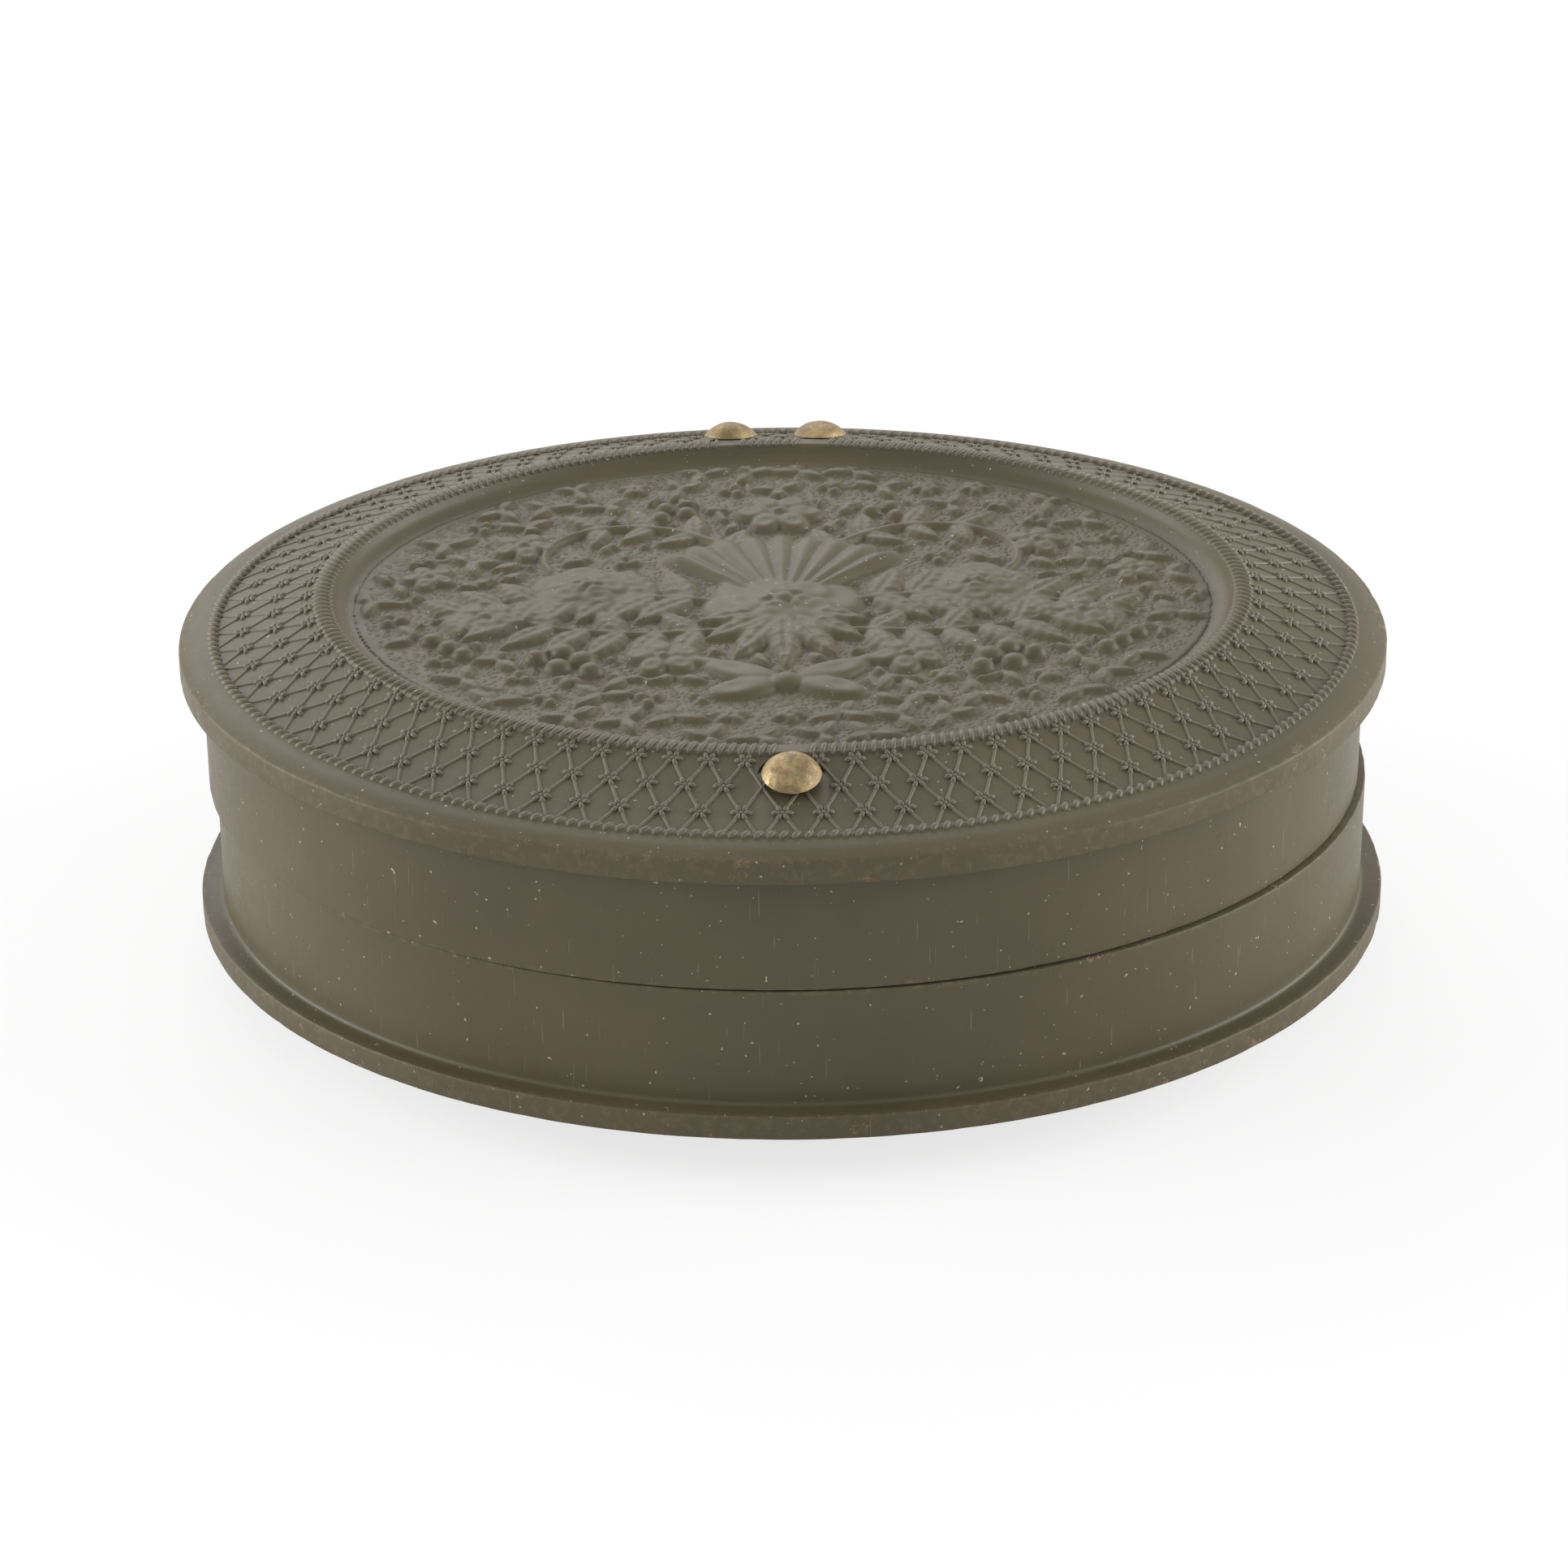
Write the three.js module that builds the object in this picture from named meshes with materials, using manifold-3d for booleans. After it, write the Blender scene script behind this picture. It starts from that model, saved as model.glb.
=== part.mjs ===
// Oval photograph case of moulded thermoplastic, shown closed.
// Millimetres, +Z up. X is the long axis, the hinge is at the back (+Y), the catch at the front (-Y).
// The origin lies on the surface that the case stands on, under the middle of the case.
// The case is two like halves. Each half is modelled in its own frame: the seam is at height 0,
// its carved face is above it, and the lower half is turned over when it is placed.
import * as THREE from "three";
import { mergeVertices } from "three/addons/utils/BufferGeometryUtils.js";
import Module from "manifold-3d";

const wasm = await Module();
wasm.setup();

// Outline of the case
const CASE_LENGTH = 79;
const CASE_WIDTH = 67.4;
const CASE_HEIGHT = 25.4;
const SEAM_GAP = 0.1;
const LID_SLIP = 0.5;

// Flange, wall and carved face of one half, as insets from the flange's edge and drops from the crest
const FLANGE_OVERHANG = 1.45;
const FLANGE_EDGE_HEIGHT = 1.6;
const FLANGE_DROP = 3.1;
const WALL_FILLET = 0.35;
const WALL_THICKNESS = 1.6;
const OUTER_ROPE_INSET = 1.9;
const OUTER_ROPE_WIDTH = 0.7;
const OUTER_ROPE_DROP = 2.2;
const INNER_ROPE_INSET = 8.8;
const INNER_ROPE_WIDTH = 1.3;
const ROPE_RISE = 0.3;
const CREST_FLAT = 0.7;
const BEVEL_BULGE = 0.08;
const BAND_HEAD_DROP = 0.48;
const COVE_WIDTH = 0.9;
const PANEL_DROP = 1.3;
const PANEL_THICKNESS = 2.6;

// Brass sheet of the hinge and the catch
const SHEET = 0.4;
const SEAT_GAP = 0.25;
const FOOT_REACH = 9.2;

// Hinge
const HINGE_WIDTH = 12;
const KNUCKLE_RADIUS = 0.9;
const KNUCKLE_LENGTH = 3.2;
const KNUCKLE_STANDOFF = 0.4;
const KNUCKLE_CLEARANCE = 0.3;
const LEAF_FACE_GAP = 0.12;
const PIN_RADIUS = 0.35;
const PIN_PLAY = 0.15;
const PIN_HEAD_RADIUS = 0.6;
const PIN_HEAD_LENGTH = 0.3;

// Rivets
const RIVET_INSET = 7;
const HINGE_RIVET_SPACING = 6.3;
const RIVET_HEAD_RADIUS = 1.83;
const LID_RIVET_RISE = 1.2;
const BASE_RIVET_RISE = 0.45;
const RIVET_SHANK_RADIUS = 0.6;
const RIVET_TAIL_RADIUS = 1.1;
const RIVET_TAIL_HEIGHT = 0.35;
const RIVET_SEAT_SINK = 0.1;
const RIVET_ROOM = 0.3;

// Catch
const CATCH_WIDTH = 7;
const KEEPER_WIDTH = 8;
const CATCH_WALL_GAP = 0.4;
const CATCH_REACH = 3.4;
const BEAD_LENGTH = 4;
const BEAD_RISE = 0.55;
const BEAD_DROP = 2.1;
const TONGUE_SET_FOOT = 1.4;
const TONGUE_SET_HEIGHT = 0.8;
const KEEPER_GAP = 0.3;
const KEEPER_RIM_GAP = 0.5;

// Velvet retaining strip round the inside of the base
const STRIP_THICKNESS = 1;
const STRIP_LIP_RISE = 1;

// Picture packet in the base, from the case's floor towards the glass
const LABEL_INSET = 14;
const LABEL_THICKNESS = 0.15;
const CARD_THICKNESS = 0.8;
const PLATE_THICKNESS = 0.5;
const MAT_THICKNESS = 0.6;
const GLASS_THICKNESS = 1.4;
const TAPE_THICKNESS = 0.2;
const PRESERVER_SHEET = 0.3;
const TAPE_PLAY = 0.15;
const PRESERVER_FRONT_LIP = 2.3;
const PRESERVER_BACK_LIP = 1.6;
const MAT_FACE_WIDTH = 7;

// Velvet pad in the lid
const PAD_INSET = 4.6;
const PAD_THICKNESS = 5.2;
const PAD_BOARD_THICKNESS = 1.2;
const PAD_EDGE_HEIGHT = 2.9;
const PAD_CROWN = 1;
const PAD_SHOULDER = 2.2;
const VELVET_THICKNESS = 0.5;

// Fineness of the round shapes
const OVAL_STEPS = 64;
const PIN_STEPS = 12;
const HEAD_STEPS = 18;
const HEAD_ARC_STEPS = 4;

// Sizes that follow from the ones above
const HALF_LENGTH = CASE_LENGTH / 2;
const HALF_WIDTH = CASE_WIDTH / 2;
const CREST = CASE_HEIGHT / 2;
const RIM = SEAM_GAP / 2;
const WALL_OUTSIDE = FLANGE_OVERHANG;
const WALL_INSIDE = WALL_OUTSIDE + WALL_THICKNESS;
const PANEL_INSET = INNER_ROPE_INSET + INNER_ROPE_WIDTH + COVE_WIDTH;
const PANEL = CREST - PANEL_DROP;
const CEILING = PANEL - PANEL_THICKNESS;
const FLANGE_TOP = CREST - FLANGE_DROP;
const FLANGE_BOTTOM = FLANGE_TOP - FLANGE_EDGE_HEIGHT;
const FOOT_FACE = CEILING + SEAT_GAP;
const FOOT_BACK = FOOT_FACE + SHEET;
const POCKET = FOOT_BACK + SEAT_GAP;
const BAND_FOOT = CREST - OUTER_ROPE_DROP - ROPE_RISE;
const BAND_HEAD = CREST - BAND_HEAD_DROP;
const RIVET_SEAT = bandHeight(RIVET_INSET) + RIVET_SEAT_SINK;
const RIVET_RIM = RIVET_SEAT + SEAT_GAP;
const TAIL_FACE = FOOT_FACE - SEAT_GAP;
const LEAF_OUTSIDE = WALL_INSIDE + SEAT_GAP;
const LEAF_INSIDE = LEAF_OUTSIDE + SHEET;
const HINGE_Y = HALF_WIDTH - WALL_OUTSIDE + KNUCKLE_STANDOFF;
const KNUCKLE_ROOM = KNUCKLE_RADIUS + KNUCKLE_CLEARANCE;
const KNUCKLE_GAP = LID_SLIP + 0.2;
const PIN_END = HINGE_WIDTH / 2 + SEAT_GAP;
const PLATE_FACE = WALL_INSIDE + CATCH_WALL_GAP;
const TONGUE_FACE = PLATE_FACE + SHEET + KEEPER_GAP;
const STRIP_OUTSIDE = LEAF_INSIDE + SEAT_GAP;
const STRIP_INSIDE = STRIP_OUTSIDE + STRIP_THICKNESS;
const PACKET_INSET = STRIP_INSIDE + SEAT_GAP;
const TAPE_INSET = PACKET_INSET + PRESERVER_SHEET + TAPE_PLAY;
const STACK_INSET = TAPE_INSET + TAPE_THICKNESS + TAPE_PLAY;
const CARD_FACE = CEILING - LABEL_THICKNESS - CARD_THICKNESS;
const PLATE_BACK = CARD_FACE - PRESERVER_SHEET;
const MAT_BACK = PLATE_BACK - PLATE_THICKNESS;
const GLASS_BACK = MAT_BACK - MAT_THICKNESS;
const GLASS_FACE = GLASS_BACK - GLASS_THICKNESS;
const BOARD_FACE = CEILING - PAD_BOARD_THICKNESS;
const PAD_SIDE_FACE = CEILING - PAD_EDGE_HEIGHT;
const PAD_FACE = CEILING - PAD_THICKNESS;

const thermoplastic = new THREE.MeshStandardMaterial({ color: 0x585043, roughness: 0.55, metalness: 0 });
const brass = new THREE.MeshStandardMaterial({ color: 0x967d55, roughness: 0.5, metalness: 1 });
const steel = new THREE.MeshStandardMaterial({ color: 0x6e6a64, roughness: 0.45, metalness: 1 });
const silvered = new THREE.MeshStandardMaterial({ color: 0xb4b4b8, roughness: 0.2, metalness: 1 });
const glass = new THREE.MeshStandardMaterial({ color: 0xdfe6e2, roughness: 0.05, metalness: 0 });
const paper = new THREE.MeshStandardMaterial({ color: 0xb9a682, roughness: 0.9, metalness: 0 });
const card = new THREE.MeshStandardMaterial({ color: 0x8a7352, roughness: 0.95, metalness: 0 });
const cotton = new THREE.MeshStandardMaterial({ color: 0xe3ddcd, roughness: 1, metalness: 0 });
const velvet = new THREE.MeshStandardMaterial({ color: 0x5a1420, roughness: 0.95, metalness: 0 });

// Height of the band between the two rope rings at an inset: it rises evenly from one to the other
function bandHeight(inset) {
  const start = OUTER_ROPE_INSET + OUTER_ROPE_WIDTH;
  const share = (inset - start) / (INNER_ROPE_INSET - start);
  return BAND_FOOT + share * (BAND_HEAD - BAND_FOOT);
}

// A closed three.js geometry as a solid that can be joined and cut
function solidFrom(geometry) {
  const bare = geometry.clone();
  bare.deleteAttribute("normal");
  bare.deleteAttribute("uv");
  const merged = mergeVertices(bare, 1e-4);
  const index = merged.index.array;
  const triangles = [];
  for (let i = 0; i < index.length; i += 3) {
    const [a, b, c] = [index[i], index[i + 1], index[i + 2]];
    if (a !== b && b !== c && c !== a) triangles.push(a, b, c);
  }
  const vertProperties = new Float32Array(merged.attributes.position.array);
  return new wasm.Manifold(new wasm.Mesh({ numProp: 3, vertProperties, triVerts: new Uint32Array(triangles) }));
}

function geometryFrom(solid) {
  const mesh = solid.getMesh();
  const geometry = new THREE.BufferGeometry();
  geometry.setAttribute("position", new THREE.BufferAttribute(new Float32Array(mesh.vertProperties), 3));
  geometry.setIndex(new THREE.BufferAttribute(new Uint32Array(mesh.triVerts), 1));
  geometry.computeVertexNormals();
  return geometry;
}

// Points that run anticlockwise, so that the faces made from them point outwards
function anticlockwise(points) {
  let area = 0;
  points.forEach(([x, y], i) => {
    const [nextX, nextY] = points[(i + 1) % points.length];
    area += x * nextY - nextX * y;
  });
  return area > 0 ? points : [...points].reverse();
}

// Half width of the oval whose half length is r. Ovals keep one inset from the flange's edge
// out to the panel's edge, and inside the panel they keep the panel's proportion.
function ovalHalfWidth(r) {
  const panelHalfLength = HALF_LENGTH - PANEL_INSET;
  const narrowing = HALF_LENGTH - HALF_WIDTH;
  if (r > panelHalfLength) return r - narrowing;
  return r * (panelHalfLength - narrowing) / panelHalfLength;
}

// A solid carried round the oval from an outline of [inset, height] points, closed on itself
// or, where it starts and ends at the middle, on the axis
function ovalSolid(outline) {
  const points = outline.map(([inset, height]) => [HALF_LENGTH - inset, height]);
  const onAxis = points.some(([r]) => r === 0);
  const ordered = anticlockwise(points);
  if (onAxis) while (ordered[0][0] !== 0 || ordered[ordered.length - 1][0] !== 0) ordered.push(ordered.shift());
  const closed = onAxis ? ordered : [...ordered, ordered[0]];
  const lathe = new THREE.LatheGeometry(closed.map(([r, height]) => new THREE.Vector2(r, height)), OVAL_STEPS);
  lathe.rotateX(Math.PI / 2);
  const place = lathe.attributes.position;
  for (let i = 0; i < place.count; i += 1) {
    const r = Math.hypot(place.getX(i), place.getY(i));
    const y = r > 1e-6 ? place.getY(i) * ovalHalfWidth(r) / r : 0;
    place.setY(i, y);
  }
  return solidFrom(lathe);
}

function ovalRing(outside, inside, low, high) {
  return ovalSolid([[outside, low], [outside, high], [inside, high], [inside, low]]);
}

function ovalSlab(inset, low, high) {
  return ovalSolid([[HALF_LENGTH, low], [inset, low], [inset, high], [HALF_LENGTH, high]]);
}

function box(xLow, xHigh, yLow, yHigh, low, high) {
  const geometry = new THREE.BoxGeometry(xHigh - xLow, yHigh - yLow, high - low);
  geometry.translate((xLow + xHigh) / 2, (yLow + yHigh) / 2, (low + high) / 2);
  return solidFrom(geometry);
}

function rodAlongX(radius, xLow, xHigh, y, height) {
  const geometry = new THREE.CylinderGeometry(radius, radius, xHigh - xLow, PIN_STEPS);
  geometry.rotateZ(Math.PI / 2);
  geometry.translate((xLow + xHigh) / 2, y, height);
  return solidFrom(geometry);
}

function upright(radius, [x, y], low, high) {
  const geometry = new THREE.CylinderGeometry(radius, radius, high - low, HEAD_STEPS);
  geometry.rotateX(Math.PI / 2);
  geometry.translate(x, y, (low + high) / 2);
  return solidFrom(geometry);
}

// A strip across the case: an outline of [y, height] points, as wide along X as width
function stripAcross(outline, width) {
  const shape = new THREE.Shape(anticlockwise(outline).map(([y, height]) => new THREE.Vector2(y, height)));
  const geometry = new THREE.ExtrudeGeometry(shape, { depth: width, bevelEnabled: false });
  const turn = new THREE.Matrix4().makeBasis(
    new THREE.Vector3(0, 1, 0), new THREE.Vector3(0, 0, 1), new THREE.Vector3(1, 0, 0));
  geometry.applyMatrix4(turn);
  geometry.translate(-width / 2, 0, 0);
  return solidFrom(geometry);
}

function join(solids) {
  return solids.reduce((whole, next) => whole.add(next));
}

function cut(solid, tools) {
  return tools.reduce((rest, tool) => rest.subtract(tool), solid);
}

// Where the rivets stand, in one half's frame
const catchRivet = [0, RIVET_INSET - HALF_WIDTH];
const hingeRivets = [-1, 1].map((side) => [side * HINGE_RIVET_SPACING / 2, HALF_WIDTH - RIVET_INSET]);
const rivetPlaces = [catchRivet, ...hingeRivets];

// One moulded half: wall, flange, carved face with two rope rings, sunken panel and hollow inside
function mouldedHalf() {
  const outerRopeMiddle = OUTER_ROPE_INSET + OUTER_ROPE_WIDTH / 2;
  const outerRopeInside = OUTER_ROPE_INSET + OUTER_ROPE_WIDTH;
  const innerRopeInside = INNER_ROPE_INSET + INNER_ROPE_WIDTH;
  const innerRopeMiddle = INNER_ROPE_INSET + INNER_ROPE_WIDTH / 2;
  const bevelMiddle = OUTER_ROPE_INSET / 2;
  const bevelTop = (FLANGE_TOP + BAND_FOOT) / 2;
  const body = ovalSolid([
    [WALL_OUTSIDE, RIM],
    [WALL_OUTSIDE, FLANGE_BOTTOM - WALL_FILLET],
    [WALL_OUTSIDE - WALL_FILLET, FLANGE_BOTTOM],
    [0, FLANGE_BOTTOM],
    [0, FLANGE_TOP],
    [bevelMiddle, bevelTop + BEVEL_BULGE],
    [OUTER_ROPE_INSET, BAND_FOOT],
    [outerRopeMiddle, BAND_FOOT + ROPE_RISE],
    [outerRopeInside, BAND_FOOT],
    [INNER_ROPE_INSET, BAND_HEAD],
    [innerRopeMiddle - CREST_FLAT / 2, CREST],
    [innerRopeMiddle + CREST_FLAT / 2, CREST],
    [innerRopeInside, CREST - ROPE_RISE],
    [innerRopeInside + COVE_WIDTH * 0.3, PANEL + PANEL_DROP * 0.25],
    [PANEL_INSET, PANEL],
    [HALF_LENGTH, PANEL],
    [HALF_LENGTH, CEILING],
    [WALL_INSIDE, CEILING],
    [WALL_INSIDE, RIM],
  ]);
  return cut(body, [hingeRoom(), leafNotch(), ...footPockets(), ...rivetRooms()]);
}

// Room for the knuckles, cut from the back wall's rim round the hinge's axis
function hingeRoom() {
  const halfRoom = PIN_END + PIN_HEAD_LENGTH + LID_SLIP + SEAT_GAP;
  return rodAlongX(KNUCKLE_ROOM / Math.cos(Math.PI / PIN_STEPS), -halfRoom, halfRoom, HINGE_Y, 0);
}

// Notch in the back wall's rim that the hinge's leaf passes through
function leafNotch() {
  const halfNotch = HINGE_WIDTH / 2 + SEAT_GAP;
  const top = LEAF_FACE_GAP + SHEET + SEAT_GAP;
  return box(-halfNotch, halfNotch, HALF_WIDTH - LEAF_INSIDE - WALL_THICKNESS, HALF_WIDTH, 0, top);
}

// Pockets in the inside of the face that take the feet of the hinge's leaf and of the catch
function footPockets() {
  const inside = ovalSlab(WALL_INSIDE, CEILING - 1, POCKET);
  const end = HALF_WIDTH - FOOT_REACH - SEAT_GAP;
  const hingeHalf = HINGE_WIDTH / 2 + SEAT_GAP;
  const catchHalf = KEEPER_WIDTH / 2 + SEAT_GAP;
  return [
    box(-hingeHalf, hingeHalf, end, HALF_WIDTH, CEILING - 1, POCKET).intersect(inside),
    box(-catchHalf, catchHalf, -HALF_WIDTH, -end, CEILING - 1, POCKET).intersect(inside),
  ];
}

// A hole for each rivet's shank and a flat seat under its head
function rivetRooms() {
  const holes = rivetPlaces.map((place) => upright(RIVET_SHANK_RADIUS + SEAT_GAP, place, CEILING, CREST + 1));
  const seats = rivetPlaces.map((place) => upright(RIVET_HEAD_RADIUS + RIVET_ROOM, place, RIVET_SEAT, CREST + 1));
  return [...holes, ...seats];
}

// One leaf of the hinge: knuckles at the seam, a pass over the wall's rim, a plate down the wall's
// inside and a foot under the face, bent from one brass sheet
function hingeLeaf(knuckles) {
  const half = HINGE_WIDTH / 2;
  const passEnd = HINGE_Y - KNUCKLE_ROOM;
  const reach = box(-half, half, 0, passEnd, LEAF_FACE_GAP, FOOT_BACK);
  const plate = ovalRing(LEAF_OUTSIDE, LEAF_INSIDE, LEAF_FACE_GAP, FOOT_BACK).intersect(reach);
  const passHigh = LEAF_FACE_GAP + SHEET;
  const pass = ovalRing(0, LEAF_INSIDE, LEAF_FACE_GAP, passHigh).intersect(reach);
  const footRoom = box(-half, half, HALF_WIDTH - FOOT_REACH, HALF_WIDTH, FOOT_FACE, FOOT_BACK);
  const foot = ovalSlab(LEAF_OUTSIDE, FOOT_FACE, FOOT_BACK).intersect(footRoom);
  const barrels = knuckles.map(([from, to]) => rodAlongX(KNUCKLE_RADIUS, from, to, HINGE_Y, 0));
  const necks = knuckles.map(([from, to]) => box(from, to, passEnd - SHEET, HINGE_Y, LEAF_FACE_GAP, passHigh));
  const bore = rodAlongX(PIN_RADIUS + PIN_PLAY, -half - 1, half + 1, HINGE_Y, 0);
  const holes = hingeRivets.map((place) => upright(RIVET_SHANK_RADIUS + SEAT_GAP, place, CEILING, POCKET));
  return cut(join([plate, pass, foot, ...necks, ...barrels]), [bore, ...holes]);
}

// The base carries the two outer knuckles and the lid the middle one
function outerKnuckles() {
  const half = HINGE_WIDTH / 2;
  return [[-half, KNUCKLE_LENGTH - half], [half - KNUCKLE_LENGTH, half]];
}

function middleKnuckle() {
  const half = HINGE_WIDTH / 2 - KNUCKLE_LENGTH - KNUCKLE_GAP;
  return [[-half, half]];
}

// The hinge's pin, with both ends peened over
function hingePin() {
  const rod = rodAlongX(PIN_RADIUS, -PIN_END, PIN_END, HINGE_Y, 0);
  const heads = [-1, 1].map((side) => {
    const [from, to] = [side * PIN_END, side * (PIN_END + PIN_HEAD_LENGTH)].sort((a, b) => a - b);
    return rodAlongX(PIN_HEAD_RADIUS, from, to, HINGE_Y, 0);
  });
  return join([rod, ...heads]);
}

// A rivet: domed head outside the face, shank through face and foot, tail peened inside
function rivet(place, rise) {
  const sphere = (RIVET_HEAD_RADIUS ** 2 + rise ** 2) / (2 * rise);
  const sweep = Math.asin(RIVET_HEAD_RADIUS / sphere);
  const dome = [];
  for (let i = 0; i <= HEAD_ARC_STEPS; i += 1) {
    const angle = sweep * (1 - i / HEAD_ARC_STEPS);
    const radius = i === HEAD_ARC_STEPS ? 0 : sphere * Math.sin(angle);
    dome.push([radius, RIVET_RIM + rise - sphere + sphere * Math.cos(angle)]);
  }
  const outline = [
    [0, TAIL_FACE - RIVET_TAIL_HEIGHT],
    [RIVET_TAIL_RADIUS * 0.7, TAIL_FACE - RIVET_TAIL_HEIGHT],
    [RIVET_TAIL_RADIUS, TAIL_FACE],
    [RIVET_SHANK_RADIUS, TAIL_FACE],
    [RIVET_SHANK_RADIUS, RIVET_RIM],
    ...dome,
  ];
  const lathe = new THREE.LatheGeometry(outline.map(([r, height]) => new THREE.Vector2(r, height)), HEAD_STEPS);
  lathe.rotateX(Math.PI / 2);
  lathe.translate(place[0], place[1], 0);
  return solidFrom(lathe);
}

// y of a point at the front that lies at an inset from the flange's edge
function frontY(inset) {
  return inset - HALF_WIDTH;
}

function footHole() {
  return upright(RIVET_SHANK_RADIUS + SEAT_GAP, catchRivet, CEILING, POCKET);
}

// The catch's spring tongue, on the lid: a foot under the face, a plate down the wall's inside, a set
// inwards above the seam and a tip that reaches into the base, with a bead that snaps into the keeper
function catchTongue() {
  const setFoot = TONGUE_SET_FOOT;
  const setTop = TONGUE_SET_FOOT + TONGUE_SET_HEIGHT;
  const back = PLATE_FACE + SHEET;
  const tongueBack = TONGUE_FACE + SHEET;
  const strip = stripAcross([
    [frontY(PLATE_FACE), FOOT_BACK],
    [frontY(PLATE_FACE), setTop],
    [frontY(TONGUE_FACE), setFoot],
    [frontY(TONGUE_FACE), -CATCH_REACH + SHEET],
    [frontY(TONGUE_FACE) + SHEET, -CATCH_REACH],
    [frontY(tongueBack) + SHEET / 2, -CATCH_REACH + SHEET / 2],
    [frontY(tongueBack), -CATCH_REACH + SHEET * 1.4],
    [frontY(tongueBack), setFoot + SHEET / 2],
    [frontY(back), setTop + SHEET / 2],
    [frontY(back), FOOT_FACE],
    [frontY(FOOT_REACH), FOOT_FACE],
    [frontY(FOOT_REACH), FOOT_BACK],
  ], CATCH_WIDTH);
  const bead = rodAlongX(BEAD_RISE, -BEAD_LENGTH / 2, BEAD_LENGTH / 2, frontY(TONGUE_FACE), -BEAD_DROP);
  const behind = box(-CATCH_WIDTH, CATCH_WIDTH, frontY(tongueBack), 0, -CATCH_REACH - 1, 0);
  return cut(strip.add(cut(bead, [behind])), [footHole()]);
}

// The catch's keeper, on the base: a foot and a plate like the tongue's, with a window for the bead
function catchKeeper() {
  const strip = stripAcross([
    [frontY(PLATE_FACE), FOOT_BACK],
    [frontY(PLATE_FACE), KEEPER_RIM_GAP],
    [frontY(PLATE_FACE + SHEET), KEEPER_RIM_GAP],
    [frontY(PLATE_FACE + SHEET), FOOT_FACE],
    [frontY(FOOT_REACH), FOOT_FACE],
    [frontY(FOOT_REACH), FOOT_BACK],
  ], KEEPER_WIDTH);
  const halfWindow = BEAD_LENGTH / 2 + LID_SLIP + KEEPER_GAP;
  const halfHeight = BEAD_RISE + KEEPER_GAP;
  const window = box(-halfWindow, halfWindow, -HALF_WIDTH, frontY(TONGUE_FACE),
    BEAD_DROP - halfHeight, BEAD_DROP + halfHeight);
  return cut(strip, [window, footHole()]);
}

// Strip of velvet-covered card round the inside of the base: it pinches the packet, and its lip
// stands above the seam and guides the lid. It is open at the catch and thinner at the hinge.
function retainingStrip() {
  const strip = ovalSolid([
    [LEAF_OUTSIDE, CEILING],
    [LEAF_OUTSIDE, KEEPER_RIM_GAP],
    [STRIP_OUTSIDE, KEEPER_RIM_GAP - SEAT_GAP],
    [STRIP_OUTSIDE, -STRIP_LIP_RISE],
    [STRIP_INSIDE, -STRIP_LIP_RISE],
    [STRIP_INSIDE, CEILING],
  ]);
  const hingeHalf = HINGE_WIDTH / 2 + LID_SLIP + SEAT_GAP;
  const behindLeaf = box(-hingeHalf, hingeHalf, 0, HALF_WIDTH, -STRIP_LIP_RISE - 1, CEILING + 1);
  const leafRoom = ovalRing(0, STRIP_OUTSIDE, -STRIP_LIP_RISE - 1, CEILING + 1).intersect(behindLeaf);
  const catchHalf = Math.max(KEEPER_WIDTH, CATCH_WIDTH) / 2 + LID_SLIP + SEAT_GAP;
  const catchRoom = box(-catchHalf, catchHalf, -HALF_WIDTH, 0, -STRIP_LIP_RISE - 1, CEILING + 1);
  return cut(strip, [leafRoom, catchRoom]);
}

// Holes that clear the three rivets' tails in a board that lies on the inside of the face
function tailHoles(low) {
  return rivetPlaces.map((place) => upright(RIVET_TAIL_RADIUS + RIVET_ROOM, place, low - 1, CEILING + 1));
}

function labelPaper() {
  return ovalSlab(LABEL_INSET, CEILING - LABEL_THICKNESS, CEILING);
}

function packingCard() {
  return cut(ovalSlab(PACKET_INSET, CARD_FACE, CEILING - LABEL_THICKNESS), tailHoles(CARD_FACE));
}

function picturePlate() {
  return ovalSlab(STACK_INSET, MAT_BACK, PLATE_BACK);
}

// Brass mat with a bevelled oval window
function brassMat() {
  const window = STACK_INSET + MAT_FACE_WIDTH;
  return ovalSolid([
    [STACK_INSET, MAT_BACK],
    [STACK_INSET, GLASS_BACK],
    [window, GLASS_BACK],
    [window + MAT_THICKNESS, MAT_BACK],
  ]);
}

function coverGlass() {
  return ovalSlab(STACK_INSET, GLASS_FACE, GLASS_BACK);
}

// Paper tape that seals the edges of plate, mat and glass together
function bindingTape() {
  return ovalRing(TAPE_INSET, TAPE_INSET + TAPE_THICKNESS, GLASS_FACE, PLATE_BACK);
}

// Thin brass frame folded round the packet: a face on the glass, an edge and a lip behind the plate
function preserver() {
  const edge = PACKET_INSET + PRESERVER_SHEET;
  return ovalSolid([
    [PACKET_INSET, CARD_FACE],
    [PACKET_INSET, GLASS_FACE - PRESERVER_SHEET],
    [PACKET_INSET + PRESERVER_FRONT_LIP, GLASS_FACE - PRESERVER_SHEET],
    [PACKET_INSET + PRESERVER_FRONT_LIP, GLASS_FACE],
    [edge, GLASS_FACE],
    [edge, PLATE_BACK],
    [PACKET_INSET + PRESERVER_BACK_LIP, PLATE_BACK],
    [PACKET_INSET + PRESERVER_BACK_LIP, CARD_FACE],
  ]);
}

function padBoard() {
  const board = ovalSlab(PAD_INSET + VELVET_THICKNESS + SEAT_GAP, BOARD_FACE, CEILING);
  return cut(board, tailHoles(BOARD_FACE));
}

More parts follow.
